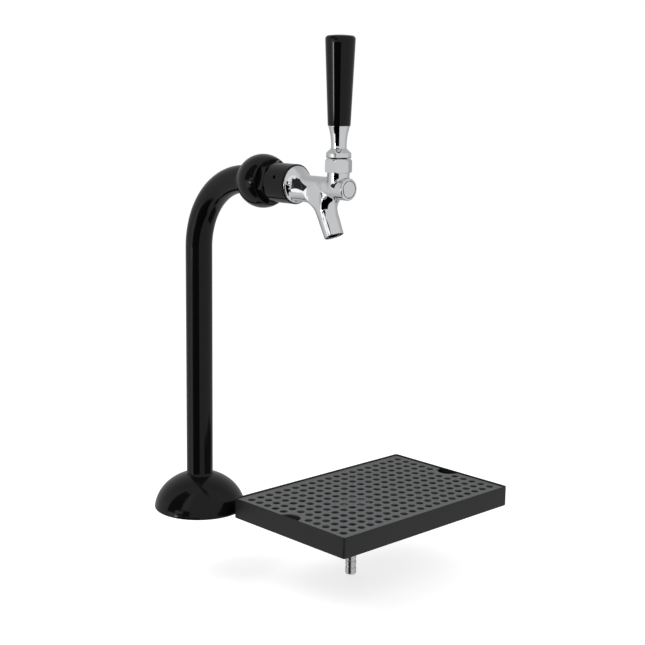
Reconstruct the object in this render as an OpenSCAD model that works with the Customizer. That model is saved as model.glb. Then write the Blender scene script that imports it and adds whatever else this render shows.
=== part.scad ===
// Draft beer tower: a bent column on a domed foot, one chromed faucet with its handle,
// and the separate drip tray that stands beside it.
// Up is +Z, the faucet points to -Y and the origin is on the counter, under the column.

/* [Column] */
// Height of the faucet's axis above the counter
axis_h = 385; // [340:1:450]
// Outer diameter of the column tube
column_d = 30; // [26:0.5:33]
// Wall thickness of the column tube
column_wall = 1.5; // [1:0.1:2.5]
// Radius of the bend, on the tube's centreline
bend_r = 82; // [60:1:86]
// Distance from the column's axis to the middle of the ball
ball_reach = 109; // [107:1:130]

/* [Foot] */
// Radius of the dome at the counter
dome_r = 52.5; // [50:0.5:62]
// Height at which the dome meets the column
dome_h = 43; // [39:0.5:60]
// Wall thickness of the dome
dome_wall = 2.5; // [1.5:0.1:3.5]
// Radius of the rounded lower lip of the dome
dome_lip_r = 2; // [0.5:0.1:3]
// Radius of the cove between the dome and the column
dome_cove_r = 3; // [1:0.2:5]
// Radius of the flange that is screwed to the counter
flange_r = 46; // [42:0.5:47]
// Thickness of that flange
flange_t = 5; // [3:0.5:8]
// Radius of the socket that holds the column
socket_r = 21; // [19.5:0.5:24]
// Height of the socket above the counter
socket_h = 26; // [20:0.5:30]
// Thickness of the gasket under the flange
foot_gasket_t = 2; // [1:0.5:3]
// Number of counter screws
foot_screws = 4; // [3:1:6]
// Diameter of the circle through the counter screws
foot_screw_pcd = 70; // [62:1:78]
// Diameter of a counter screw's hole
foot_screw_d = 5.5; // [4:0.1:7]
// Number of grub screws that lock the column
grub_count = 3; // [2:1:4]
// Diameter of a grub screw
grub_d = 5; // [3:0.5:6]
// Height of the grub screws above the counter
grub_h = 18; // [15:0.5:20]

/* [Ball and collar] */
// Diameter of the ball
ball_d = 56.6; // [54:0.2:64]
// Distance from the ball's middle to its flat
ball_flat = 14; // [10:0.5:17]
// Distance from the ball's middle back to the column's end
ball_socket = 14; // [12:0.5:18]
// Radius of the fillet between the ball and the column
ball_fillet_r = 5; // [2:0.5:8]
// Radius of the shank's thread
shank_r = 11; // [9.5:0.25:12]
// Radius of the beer passage in the shank
shank_bore_r = 5; // [3:0.25:6]
// Width of the shank nut across its flats
shank_nut_af = 40; // [30:0.5:41]
// Thickness of the shank nut
shank_nut_t = 8.5; // [6:0.5:16]
// Radius of the coupling collar
collar_r = 20.5; // [20:0.25:24]
// Length of the coupling collar
collar_l = 29.5; // [26:0.5:36]
// Thickness of the collar's rear lip
collar_lip = 4.5; // [3:0.25:6]
// Thickness of the shank's front flange
shank_flange_t = 4; // [3:0.25:5]
// Thickness of the coupling gasket
coupling_gasket_t = 2.5; // [1.5:0.25:3]
// Diameter of a spanner hole in the collar
spanner_d = 4; // [3:0.25:5]
// Number of spanner holes
spanner_holes = 4; // [1:1:6]

/* [Beer line] */
// Outer radius of the beer line
line_r = 4.75; // [4:0.25:6]
// Inner radius of the beer line
line_bore_r = 3.2; // [2.5:0.1:3.5]
// Length of the hose tail on the shank
line_tail_l = 12; // [8:0.5:14]
// Length of each end of the hose joiner in the foot
joiner_l = 18; // [12:1:24]

/* [Faucet body] */
// Diameter of the barrel
barrel_d = 20.6; // [20:0.1:21.6]
// Diameter of the shoulder that sits in the collar
shoulder_d = 37.5; // [34:0.5:38]
// Thickness of that shoulder
shoulder_t = 3.5; // [2.5:0.25:4]
// Length of the cove in front of the shoulder
cove_l = 8; // [6:0.5:10]
// Length of the horn that leads from the shoulder down into the spout
horn_l = 30; // [27:0.5:33]
// Tilt of the horn, down from the barrel's axis
horn_tilt = 13.4; // [11:0.2:15]
// Radius of the horn where it ends in the spout's root
horn_r = 11.3; // [10.8:0.1:11.8]
// Diameter of the threaded tail
tail_d = 28.6; // [28:0.1:30]
// Distance from the shoulder to the lever's axis
lever_reach = 60.7; // [56:0.5:70]
// Distance from the lever's axis to the nose
nose_reach = 15.8; // [14.5:0.1:20]
// Radius of the nose
nose_r = 11; // [10.5:0.1:12]
// Radius of the neck under the bonnet
neck_r = 11.1; // [11:0.1:12]
// Tilt of the spout, forward of straight down
spout_tilt = 25.5; // [15:0.5:30]
// Depth of the spout's mouth below the barrel's axis
spout_drop = 48; // [42:0.5:60]
// Distance from the spout's mouth back to the lever's axis
spout_set = 4.8; // [2:0.2:10]
// Radius of the spout at its mouth
spout_r = 9.75; // [9.5:0.1:11]
// Wall thickness of the spout at its mouth
spout_wall = 1.6; // [1:0.1:2.5]
// Depth of the spout's wide bore, before it narrows to the passage
spout_bore_l = 36; // [20:0.5:38]

/* [Valve] */
// Radius of the chamber behind the valve seat
chamber_r = 9; // [8.6:0.1:9.2]
// Distance from the shoulder to the valve seat
seat_reach = 9; // [7.5:0.5:10]
// Thickness of the valve seat
seat_t = 4; // [3:0.25:5]
// Radius of the opening in the valve seat
seat_bore_r = 6.2; // [5.5:0.1:6.4]
// Radius of the valve shaft's rod
rod_r = 4; // [3:0.1:4.5]
// Radius of the valve shaft's head
head_r = 6.5; // [6.4:0.1:7]
// Thickness of the seat washer
washer_t = 4; // [2:0.25:5]
// Radius of the seat washer
washer_r = 7.6; // [7.2:0.1:8]
// Radius of the front plug's face
plug_r = 8.15; // [7.9:0.05:8.3]

/* [Lever and bonnet] */
// Height of the lever's pivot above the barrel's axis
pivot_h = 20; // [19.5:0.1:21]
// Radius of the lever's ball
lever_ball_r = 7; // [6.8:0.1:7.2]
// Radius of the lever's stem
stem_r = 3; // [2.5:0.1:3.1]
// Radius of the lever's threaded stud
stud_r = 4.7; // [4:0.1:4.9]
// Tilt of the lever when the faucet is open
lever_tilt = 24; // [15:1:25]
// Width of the bonnet nut across its flats
bonnet_af = 24; // [23.5:0.25:25]
// Height of the bonnet nut
bonnet_h = 13.8; // [13:0.1:14.2]
// Radius of the lever collar
lever_collar_r = 12.5; // [12:0.1:13.2]
// Height of the lever collar
lever_collar_h = 8.8; // [8:0.1:11]

/* [Handle] */
// Length of the chromed ferrule
ferrule_l = 22.3; // [20:0.1:30]
// Radius of the ferrule where it meets the lever collar
ferrule_low_r = 7.8; // [7.2:0.1:8.4]
// Radius of the ferrule where it meets the grip
ferrule_top_r = 10.7; // [10:0.1:11.2]
// Length of the grip
grip_l = 87.8; // [70:0.5:120]
// Radius of the grip at its lower end
grip_low_r = 11.3; // [11.2:0.1:12.5]
// Radius of the grip near its top
grip_top_r = 14.9; // [13:0.1:18]
// Radius of the rounding at the grip's top
grip_round_r = 3.5; // [1:0.1:5]

/* [Drip tray] */
// Length of the tray
tray_l = 268; // [240:1:320]
// Width of the tray
tray_w = 178; // [150:1:200]
// Height of the tray
tray_h = 23.6; // [18:0.2:32]
// Wall thickness of the tray
tray_wall = 1.5; // [1:0.1:2]
// Radius of the tray's upright corners
tray_corner_r = 3; // [2.2:0.1:8]
// Distance from the column's axis to the tray's near end, along X
tray_side = 3; // [0:1:80]
// Distance from the column's axis to the tray's rear side, along -Y
tray_back = 58; // [53:1:130]
// Thickness of the grille's sheet
grille_t = 1.5; // [1:0.1:2]
// Depth of the grille below the tray's rim
grille_recess = 1.5; // [0.5:0.1:3]
// Diameter of a hole in the grille
hole_d = 9; // [5:0.25:10]
// Distance between the holes
hole_pitch = 13.4; // [12:0.1:14]
// Radius of the finger notches
notch_r = 13.5; // [10:0.5:14]
// Distance from the tray's middle back to the drain
drain_y = 34; // [0:1:50]
// Radius of the drain's flange
drain_flange_r = 22.5; // [19:0.5:30]
// Radius of the drain's threaded body
drain_body_r = 10; // [9:0.25:11.5]
// Radius of the drain pipe
drain_pipe_r = 6.4; // [5.8:0.1:7.5]
// Wall thickness of the drain pipe
drain_pipe_wall = 1.2; // [0.8:0.1:1.6]
// Depth of the drain pipe's end below the counter
drain_drop = 85; // [50:1:120]
// Width of the drain nut across its flats
drain_nut_af = 28; // [26:0.5:32]

/* [Clearances] */
// Gap around parts that are fixed in one another
fixed_gap = 0.1; // [0.05:0.01:0.2]
// Gap around the sliding valve shaft
slide_gap = 0.06; // [0.03:0.01:0.1]
// Gap around the lever's ball
ball_gap = 0.12; // [0.08:0.01:0.2]
// Gap between parts that move past one another
loose_gap = 0.35; // [0.3:0.05:0.5]

/* [Hidden] */

black_coat = "#1c1d1f";
black_plastic = "#101113";
bright_chrome = "#c9cbcc";
steel = "#a9adb0";
brass = "#b08d4a";
rubber = "#202020";
clear_line = "#d8dcd8";
white_plastic = "#e6e4dc";
tray_grey = "#3c3d3f";

fine = 96;
over = 1;
column_r = column_d / 2;
bore_r = column_r - column_wall;
bend_z = axis_h - bend_r;
column_foot = foot_gasket_t + flange_t;
dome_sink = 3;
dome_rise = dome_h + 2.4;
dome_neck = 3;
joiner_low = foot_gasket_t;
joiner_ring = 3;
joiner_top = joiner_low + joiner_l + joiner_ring;
hose_pin_r = line_bore_r - 0.05;
hose_pin_bore_r = hose_pin_r - 1;
joiner_pin_r = line_bore_r + 0.8;

ball_r = ball_d / 2;
column_end = ball_reach - ball_socket;
ball_lip = 0.5;
flat_s = ball_reach + ball_flat;
collar_s = flat_s + shank_nut_t;
rim_s = collar_s + collar_l;
shank_rear_s = column_end + 2;
shank_flange_s = collar_s + collar_lip;
shank_front_s = shank_flange_s + shank_flange_t;
shank_flange_r = tail_d / 2 - fixed_gap;
tail_s = shank_front_s + coupling_gasket_t;
shank_nut_turn = 16;
spanner_turn = 159;
spanner_s = collar_s + collar_l * 0.54;
nut_corner = 1 / cos(30);

barrel_r = barrel_d / 2;
shoulder_r = shoulder_d / 2;
shoulder_s = rim_s + 0.5 - shoulder_t;
shoulder_round = 1.2;
lever_s = rim_s + lever_reach;
nose_s = lever_s + nose_reach;
nose_round = 1.7;
seat_s = rim_s + seat_reach;
washer_s = seat_s - loose_gap - washer_t;
washer_nut_t = 5;
head_bore_r = head_r + slide_gap;
head_back = 9.7;
head_front = 6.8;
plug_seat_r = plug_r + 0.7;
plug_seat_t = 2.5;
plug_shank_r = 7.4;
plug_shank_t = nose_reach - plug_seat_t - head_front - 0.5;
plug_groove_s = nose_s - plug_seat_t - plug_shank_t / 2;
seal_r = 0.5;
spout_bore_r = spout_r - spout_wall;
spout_passage_r = spout_bore_r - 1;
spout_axis_l = spout_drop / cos(spout_tilt);
spout_s = lever_s - spout_set;

pivot_z = axis_h + pivot_h;
seat_ball_r = lever_ball_r + ball_gap;
spigot_r = neck_r - 1.1;
spigot_top = pivot_h + 0.5;
neck_top = pivot_h - 4.2;
cup_floor = pivot_h - 4;
cup_r = spigot_r - 1.4;
washer_cap = 4;
bonnet_bore_r = spigot_r + 0.15;
bonnet_top = neck_top + bonnet_h;
bonnet_r = bonnet_af / 2 * nut_corner;
bonnet_rim_r = bonnet_af / 2 - 0.25;
finger_r = 2.8;
tip_r = 3;
tip_neck_r = 2;
tip_neck_l = pivot_h - 9;
shell_gap = 0.9;
collar_low = bonnet_top + shell_gap;
collar_hollow_r = norm([lever_collar_r - 0.05, collar_low - pivot_h]);
collar_top = collar_low + lever_collar_h;
stud_low = bonnet_top + shell_gap + 4;
ferrule_top = collar_top + ferrule_l;
stud_top = ferrule_top - 8.5;
grip_pin_r = 6;
grip_pin_l = 10;
grip_top = ferrule_top + grip_l;

tray_x = tray_side + tray_l / 2;
tray_y = tray_back + tray_w / 2;
grille_top = tray_h - grille_recess;
grille_gap = 0.6;
grille_l = tray_l - 2 * tray_wall - 2 * grille_gap;
grille_w = tray_w - 2 * tray_wall - 2 * grille_gap;
grille_corner_r = tray_corner_r - tray_wall;
edge_margin = 13;
holes_x = 2 * floor((grille_l / 2 - edge_margin + 1) / hole_pitch) + 1;
holes_y = 2 * floor((grille_w / 2 - edge_margin + hole_pitch / 2) / hole_pitch);
foot_inset = 14;
drain_gasket_t = 1.5;
drain_flange_t = 1.5;
drain_body_l = 9;
drain_nut_t = 7;
groove_l = 3;
groove_depth = 0.6;
groove_step = 8;

// Places its children on the faucet's axis, s in front of the column, with local Z forward
module on_axis(s) {
    translate([0, -s, axis_h]) rotate([90, 0, 0]) children();
}

// Places its children on the lever's axis, with z counted from the barrel's axis
module on_lever(z = 0) {
    translate([0, -lever_s, axis_h + z]) children();
}

// Places its children along the spout, from the mouth up
module on_spout() {
    translate([0, -spout_s, axis_h - spout_drop]) rotate([-spout_tilt, 0, 0]) children();
}

module on_tray() {
    translate([tray_x, -tray_y, 0]) children();
}

module on_drain() {
    on_tray() translate([0, drain_y, 0]) children();
}

// Ring of length h between two radii
module tube(outer, inner, h) {
    difference() {
        cylinder(r = outer, h = h, $fn = fine);
        translate([0, 0, -over]) cylinder(r = inner, h = h + 2 * over, $fn = fine);
    }
}

// Quarter of a bent tube, from straight up to straight forward
module bent_tube(outer, inner) {
    translate([0, -bend_r, bend_z]) rotate([90, 0, 90])
        rotate_extrude(angle = 90, $fn = fine) translate([bend_r, 0]) difference() {
            circle(r = outer, $fn = fine);
            circle(r = inner, $fn = fine);
        }
}

// Tube that rises from z, follows the bend and ends at s on the faucet's axis
module riser(outer, inner, z, s) {
    translate([0, 0, z]) tube(outer, inner, bend_z - z);
    bent_tube(outer, inner);
    on_axis(bend_r) tube(outer, inner, s - bend_r);
}

// Hexagonal nut with both faces chamfered
module hex_nut(af, h, bore, chamfer) {
    corner = af / 2 * nut_corner;
    difference() {
        intersection() {
            cylinder(r = corner, h = h, $fn = 6);
            rotate_extrude($fn = fine) polygon([
                [0, 0], [corner - chamfer, 0], [corner, chamfer * 0.6],
                [corner, h - chamfer * 0.6], [corner - chamfer, h], [0, h]
            ]);
        }
        translate([0, 0, -over]) cylinder(r = bore, h = h + 2 * over, $fn = fine);
    }
}

// Rectangle of l by w with round corners, centred
module rounded_plate(l, w, r, h) {
    linear_extrude(h) union() {
        square([l, w - 2 * r], center = true);
        square([l - 2 * r, w], center = true);
        for (x = [-1, 1], y = [-1, 1])
            translate([x * (l / 2 - r), y * (w / 2 - r)]) circle(r = r, $fn = 48);
    }
}

// Outline of the dome: an ellipse whose middle lies a little below the counter
function dome_a(inset) = (dome_r - inset) / sqrt(1 - pow(dome_sink / (dome_rise - inset), 2));
function dome_point(t, inset) = [dome_a(inset) * cos(t), (dome_rise - inset) * sin(t) - dome_sink];
function dome_angle(z, inset) = asin((z + dome_sink) / (dome_rise - inset));
function dome_angle_at(r, inset) = acos(r / dome_a(inset));

module base_dome() {
    bore = column_r + fixed_gap;
    low = dome_angle(dome_lip_r, 0);
    high = dome_angle_at(column_r + dome_cove_r, 0);
    in_high = dome_angle_at(bore + dome_neck, dome_wall);
    in_low = dome_angle(0, dome_wall);
    cove_z = dome_point(high, 0)[1];
    lip = dome_point(low, 0)[0];
    steps = 28;
    edge = 5;
    color(black_coat) rotate_extrude($fn = fine) polygon(concat(
        [for (i = [0:edge - 1])
            [lip - dome_lip_r * (1 - sin(i * 90 / edge)), dome_lip_r * (1 - cos(i * 90 / edge))]],
        [for (i = [0:steps]) dome_point(low + (high - low) * i / steps, 0)],
        [for (i = [1:edge])
            [column_r + dome_cove_r - (dome_cove_r - fixed_gap) * sin(i * 90 / edge),
             cove_z + (dome_h - cove_z) * (1 - cos(i * 90 / edge))]],
        [[bore, dome_point(in_high, dome_wall)[1]]],
        [for (i = [0:steps]) dome_point(in_high + (in_low - in_high) * i / steps, dome_wall)]
    ));
}

module mounting_flange() {
    color(steel) difference() {
        union() {
            translate([0, 0, foot_gasket_t]) cylinder(r = flange_r, h = flange_t, $fn = fine);
            translate([0, 0, foot_gasket_t])
                cylinder(r = socket_r, h = socket_h - foot_gasket_t, $fn = fine);
        }
        translate([0, 0, -over]) cylinder(r = bore_r, h = column_foot + 2 * over, $fn = fine);
        translate([0, 0, column_foot]) cylinder(r = column_r + fixed_gap, h = socket_h, $fn = fine);
        foot_screw_holes();
        for (i = [0:grub_count - 1])
            rotate([0, 0, 90 + i * 360 / grub_count]) translate([0, 0, grub_h]) rotate([0, 90, 0])
                cylinder(d = grub_d + 2 * fixed_gap, h = socket_r + over, $fn = 48);
    }
}

module foot_screw_holes() {
    for (i = [0:foot_screws - 1])
        rotate([0, 0, (i + 0.5) * 360 / foot_screws]) translate([foot_screw_pcd / 2, 0, -over])
            cylinder(d = foot_screw_d, h = column_foot + 2 * over, $fn = 48);
}

module flange_gasket() {
    color(rubber) difference() {
        cylinder(r = flange_r, h = foot_gasket_t, $fn = fine);
        translate([0, 0, -over]) cylinder(r = bore_r, h = foot_gasket_t + 2 * over, $fn = fine);
        foot_screw_holes();
    }
}

module column_grub_screws() {
    key_r = grub_d / 4;
    tip = column_r + fixed_gap;
    color(steel) for (i = [0:grub_count - 1])
        rotate([0, 0, 90 + i * 360 / grub_count]) translate([tip, 0, grub_h]) rotate([0, 90, 0])
            difference() {
                cylinder(d = grub_d, h = socket_r - tip, $fn = 48);
                translate([0, 0, (socket_r - tip) / 2]) cylinder(r = key_r, h = socket_r, $fn = 6);
            }
}

module column() {
    color(black_coat) riser(column_r, bore_r, column_foot, column_end);
}

module beer_line() {
    color(clear_line) riser(line_r, line_bore_r, joiner_top, shank_rear_s - 0.5);
}

// Stainless joiner: the bar's own line is pushed on its lower end
module line_joiner() {
    color(steel) difference() {
        union() {
            translate([0, 0, joiner_low]) cylinder(r = joiner_pin_r, h = joiner_l, $fn = fine);
            translate([0, 0, joiner_low + joiner_l]) cylinder(r = line_r, h = joiner_ring, $fn = fine);
            translate([0, 0, joiner_top]) cylinder(r = hose_pin_r, h = joiner_l, $fn = fine);
        }
        translate([0, 0, joiner_low - over])
            cylinder(r = hose_pin_bore_r, h = 2 * joiner_l + joiner_ring + 2 * over, $fn = fine);
    }
}

// Crimped clamp with its ear, over the line and the shank's tail
module line_clamp() {
    clamp_l = line_tail_l / 2;
    clamp_t = 1.2;
    ear_w = 4;
    set_back = line_tail_l * 0.8;
    color(steel) on_axis(shank_rear_s - set_back) difference() {
        union() {
            cylinder(r = line_r + fixed_gap + clamp_t, h = clamp_l, $fn = fine);
            translate([-ear_w / 2, 0, 0]) cube([ear_w, line_r + 3 * clamp_t, clamp_l]);
        }
        translate([0, 0, -over]) cylinder(r = line_r + fixed_gap, h = clamp_l + 2 * over, $fn = fine);
    }
}

// Ball with a socket for the column behind, a fillet round it and a flat for the nut in front
module ball_housing() {
    steps = 32;
    edge = 6;
    fillet_at = column_r + ball_lip + ball_fillet_r;
    turn = acos(fillet_at / (ball_r + ball_fillet_r));
    fillet_z = -(ball_r + ball_fillet_r) * sin(turn);
    flat_turn = asin(ball_flat / ball_r);
    color(black_coat) on_axis(ball_reach) rotate_extrude($fn = fine) polygon(concat(
        [for (i = [0:edge - 1])
            [fillet_at - ball_fillet_r * cos(turn * i / edge),
             fillet_z + ball_fillet_r * sin(turn * i / edge)]],
        [for (i = [0:steps]) let (t = -turn + (flat_turn + turn) * i / steps)
            [ball_r * cos(t), ball_r * sin(t)]],
        [[shank_r + fixed_gap, ball_flat], [shank_r + fixed_gap, -ball_socket],
         [column_r + fixed_gap, -ball_socket], [column_r + fixed_gap, fillet_z]]
    ));
}

module shank() {
    tail_wall = 4;
    tail_from = shank_rear_s - line_tail_l;
    color(steel) difference() {
        union() {
            on_axis(shank_rear_s) cylinder(r = shank_r, h = shank_front_s - shank_rear_s, $fn = fine);
            on_axis(shank_flange_s) cylinder(r = shank_flange_r, h = shank_flange_t, $fn = fine);
            on_axis(tail_from) cylinder(r = hose_pin_r, h = line_tail_l + over, $fn = fine);
        }
        on_axis(shank_rear_s + tail_wall) cylinder(r = shank_bore_r, h = shank_front_s, $fn = fine);
        on_axis(tail_from - over)
            cylinder(r = hose_pin_bore_r, h = line_tail_l + tail_wall + 2 * over, $fn = fine);
    }
}

module shank_nut() {
    chamfer = 1.4;
    color(black_coat) on_axis(flat_s) rotate([0, 0, shank_nut_turn])
        hex_nut(shank_nut_af, shank_nut_t, shank_r + fixed_gap, chamfer);
}

// Round collar that draws the faucet onto the shank, with spanner holes round it
module coupling_collar() {
    edge = 0.8;
    mouth_r = shoulder_r + 2 * fixed_gap;
    thread_r = tail_d / 2 + fixed_gap;
    spanner_floor = 2;
    color(black_coat) on_axis(collar_s) difference() {
        rotate_extrude($fn = fine) polygon([
            [shank_r + fixed_gap, 0], [collar_r - edge, 0], [collar_r, edge],
            [collar_r, collar_l - edge / 2], [collar_r - edge / 2, collar_l],
            [mouth_r, collar_l], [mouth_r, shoulder_s - collar_s],
            [thread_r, shoulder_s - collar_s], [thread_r, collar_lip],
            [shank_r + fixed_gap, collar_lip]
        ]);
        for (i = [0:spanner_holes - 1])
            rotate([0, 0, spanner_turn + i * 360 / spanner_holes])
                translate([thread_r + spanner_floor, 0, spanner_s - collar_s]) rotate([0, 90, 0])
                    cylinder(d = spanner_d, h = collar_r, $fn = 48);
    }
}

module coupling_gasket() {
    inset = 1.5;
    color(rubber) on_axis(shank_front_s) tube(tail_d / 2 - inset, shank_bore_r + inset, coupling_gasket_t);
}

// Outside of the barrel: tail, shoulder, cove, barrel and nose, turned about the faucet's axis
module barrel_form() {
    cove_from = shoulder_s + shoulder_t;
    cove_start = cove_from + shoulder_round;
    cove_span = rim_s + cove_l - cove_start;
    edge_r = shoulder_r - shoulder_round;
    blend_from = lever_s - 22;
    blend_l = 9;
    steps = 10;
    edge = 4;
    on_axis(0) rotate_extrude($fn = fine) polygon(concat(
        [[0, tail_s], [tail_d / 2, tail_s], [tail_d / 2, shoulder_s], [shoulder_r, shoulder_s]],
        [for (i = [0:edge])
            [edge_r + shoulder_round * cos(i * 90 / edge), cove_from + shoulder_round * sin(i * 90 / edge)]],
        [for (i = [1:steps])
            [edge_r - (edge_r - barrel_r) * sin(i * 90 / steps),
             cove_start + cove_span * (1 - cos(i * 90 / steps))]],
        [for (i = [0:steps])
            [nose_r + (barrel_r - nose_r) * (1 + cos(i * 180 / steps)) / 2,
             blend_from + blend_l * i / steps]],
        [for (i = [0:edge])
            [nose_r - nose_round * (1 - cos(i * 90 / edge)),
             nose_s - nose_round * (1 - sin(i * 90 / edge))]],
        [[0, nose_s]]
    ));
}

// Flare that leads from the shoulder down into the spout, and gives the body its heavy underside
module horn_form() {
    back = 8;
    sink = 1;
    flare = shoulder_r - shoulder_round - horn_r;
    sweep = 2.2;
    steps = 14;
    turns = 6;
    intersection() {
        on_axis(shoulder_s + sink) cylinder(r = shoulder_r - shoulder_round, h = 2 * horn_l, $fn = fine);
        translate([0, 0, -sink]) on_axis(rim_s + 0.5) rotate([horn_tilt, 0, 0])
            rotate_extrude($fn = fine) polygon(concat(
                [[0, -back]],
                [for (i = [0:steps])
                    [horn_r + flare * pow((horn_l + back) / horn_l * (1 - i / steps), sweep),
                     (horn_l + back) * i / steps - back]],
                [for (i = [1:turns])
                    [horn_r * cos(i * 90 / turns), horn_l + horn_r * sin(i * 90 / turns)]]
            ));
    }
}

// Outside of the spout: a slim mouth that swells into a round root under the barrel
module spout_form() {
    swell_from = spout_axis_l * 0.36;
    swell_to = spout_axis_l * 0.84;
    sweep = 1.3;
    steps = 12;
    turns = 6;
    edge = 0.3;
    root_r = barrel_r + 1.5;
    stem = spout_r + 0.45;
    on_spout() rotate_extrude($fn = fine) polygon(concat(
        [[0, 0], [spout_r - edge, 0], [spout_r, edge]],
        [for (i = [0:steps])
            [stem + (root_r - stem) * pow(i / steps, sweep),
             swell_from + (swell_to - swell_from) * i / steps]],
        [for (i = [1:turns])
            [root_r * cos(i * 90 / turns), swell_to + root_r * sin(i * 90 / turns)]]
    ));
}

// Everything that is hollow in the body: chamber, seat, shaft bore, lever slot and spout
module body_passages() {
    slot_x = finger_r + 0.6;
    slot_front = slot_x + 0.2;
    slot_back = head_back + 0.1;
    cup_well_r = 6.2;
    cup_well = 3.5;
    spout_end = 5;
    on_axis(tail_s - over) cylinder(r = chamber_r, h = seat_s - tail_s + over, $fn = fine);
    on_axis(seat_s - over) cylinder(r = seat_bore_r, h = seat_t + 2 * over, $fn = fine);
    on_axis(seat_s + seat_t) cylinder(r = head_bore_r, h = nose_s - seat_s, $fn = fine);
    on_axis(nose_s - plug_seat_t - plug_shank_t)
        cylinder(r = plug_shank_r + fixed_gap, h = plug_shank_t + over, $fn = fine);
    on_axis(nose_s - plug_seat_t) cylinder(r = plug_seat_r, h = plug_seat_t + over, $fn = fine);
    on_lever() translate([-slot_x, -slot_front, 0])
        cube([2 * slot_x, slot_front + slot_back, cup_floor - cup_well / 2]);
    on_lever(cup_floor - cup_well) cylinder(r = cup_well_r, h = cup_well + over, $fn = fine);
    on_lever(cup_floor) cylinder(r = cup_r, h = pivot_h, $fn = fine);
    on_spout() translate([0, 0, -over]) cylinder(r = spout_bore_r, h = spout_bore_l + over, $fn = fine);
    on_spout() cylinder(r = spout_passage_r, h = spout_axis_l - spout_end, $fn = fine);
}

module faucet_body() {
    color(bright_chrome) difference() {
        union() {
            barrel_form();
            horn_form();
            spout_form();
            on_lever() cylinder(r = neck_r, h = neck_top, $fn = fine);
            on_lever() cylinder(r = spigot_r, h = spigot_top, $fn = fine);
        }
        body_passages();
    }
}

// Rod with a slotted head: the lever's tip pushes it back off the seat
module valve_shaft() {
    slot = tip_r + loose_gap;
    rod_back = washer_s - washer_nut_t - 4;
    relief = 1.6;
    relief_z = 2.5;
    color(steel) difference() {
        union() {
            on_axis(rod_back) cylinder(r = rod_r, h = lever_s - rod_back, $fn = fine);
            on_axis(lever_s - head_back) cylinder(r = head_r, h = head_back + head_front, $fn = fine);
        }
        on_lever(-slot) translate([-head_r - over, -slot, 0])
            cube([2 * (head_r + over), 2 * slot, 4 * slot]);
        on_lever(relief_z) translate([-head_r - over, -slot - relief, 0])
            cube([2 * (head_r + over), slot + relief, 2 * slot]);
    }
}

module seat_washer() {
    color(rubber) on_axis(washer_s) tube(washer_r, rod_r + fixed_gap, washer_t);
}

module washer_nut() {
    af = 12;
    chamfer = 0.8;
    color(brass) on_axis(washer_s - washer_nut_t) hex_nut(af, washer_nut_t, rod_r + fixed_gap, chamfer);
}

module front_plug() {
    proud = 0.2;
    edge = 0.5;
    groove = 1.2;
    color(bright_chrome) difference() {
        union() {
            on_axis(nose_s - plug_seat_t - plug_shank_t)
                cylinder(r = plug_shank_r, h = plug_shank_t + edge, $fn = fine);
            on_axis(nose_s - plug_seat_t) rotate_extrude($fn = fine) polygon([
                [0, 0], [plug_r, 0], [plug_r, plug_seat_t + proud - edge],
                [plug_r - edge, plug_seat_t + proud], [0, plug_seat_t + proud]
            ]);
        }
        on_axis(plug_groove_s - groove / 2) tube(plug_shank_r + over, plug_shank_r - 2 * seal_r, groove);
    }
}

module plug_seal() {
    color(rubber) on_axis(plug_groove_s) rotate_extrude($fn = fine)
        translate([plug_shank_r - seal_r, 0]) circle(r = seal_r - fixed_gap / 2, $fn = 32);
}

// Lower seat of the lever's ball, in the cup on top of the neck
module ball_washer() {
    color(white_plastic) on_lever(cup_floor) difference() {
        cylinder(r = cup_r - fixed_gap, h = pivot_h - 0.5 - cup_floor, $fn = fine);
        translate([0, 0, pivot_h - cup_floor]) sphere(r = seat_ball_r, $fn = fine);
    }
}

// Upper seat of the lever's ball, pressed down by the bonnet
module friction_washer() {
    color(brass) on_lever(pivot_h + 1) difference() {
        cylinder(r = bonnet_bore_r - fixed_gap, h = washer_cap - 1, $fn = fine);
        translate([0, 0, -1]) sphere(r = seat_ball_r, $fn = fine);
    }
}

module bonnet_nut() {
    cap_from = pivot_h + washer_cap;
    cap_h = bonnet_top - cap_from;
    hole_low_r = stem_r + 3.3;
    hole_top_r = stem_r + 5.4;
    low_chamfer = 1.7;
    low_chamfer_h = 1;
    top_chamfer_h = 2.6;
    spill = 0.01;
    color(bright_chrome) on_lever() difference() {
        intersection() {
            translate([0, 0, neck_top]) rotate([0, 0, 30]) cylinder(r = bonnet_r, h = bonnet_h, $fn = 6);
            rotate_extrude($fn = fine) polygon([
                [0, neck_top], [bonnet_r - low_chamfer, neck_top], [bonnet_r, neck_top + low_chamfer_h],
                [bonnet_r, bonnet_top - top_chamfer_h], [bonnet_rim_r, bonnet_top], [0, bonnet_top]
            ]);
        }
        translate([0, 0, neck_top - over])
            cylinder(r = bonnet_bore_r, h = cap_from - neck_top + over, $fn = fine);
        translate([0, 0, cap_from - spill])
            cylinder(r1 = hole_low_r, r2 = hole_top_r, h = cap_h + 2 * spill, $fn = fine);
    }
}

// Ball lever: a tip in the valve shaft, a ball in its seats and a stud for the handle
module lever() {
    color(steel) on_lever(pivot_h) union() {
        sphere(r = lever_ball_r, $fn = fine);
        cylinder(r = stem_r, h = stud_low - pivot_h + over, $fn = fine);
        translate([0, 0, stud_low - pivot_h]) cylinder(r = stud_r, h = stud_top - stud_low, $fn = fine);
        translate([0, 0, tip_neck_l - pivot_h]) cylinder(r = finger_r, h = pivot_h - tip_neck_l, $fn = fine);
        translate([0, 0, -pivot_h]) cylinder(r = tip_neck_r, h = tip_neck_l + over, $fn = fine);
        translate([0, 0, -pivot_h]) sphere(r = tip_r, $fn = 48);
    }
}

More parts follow.
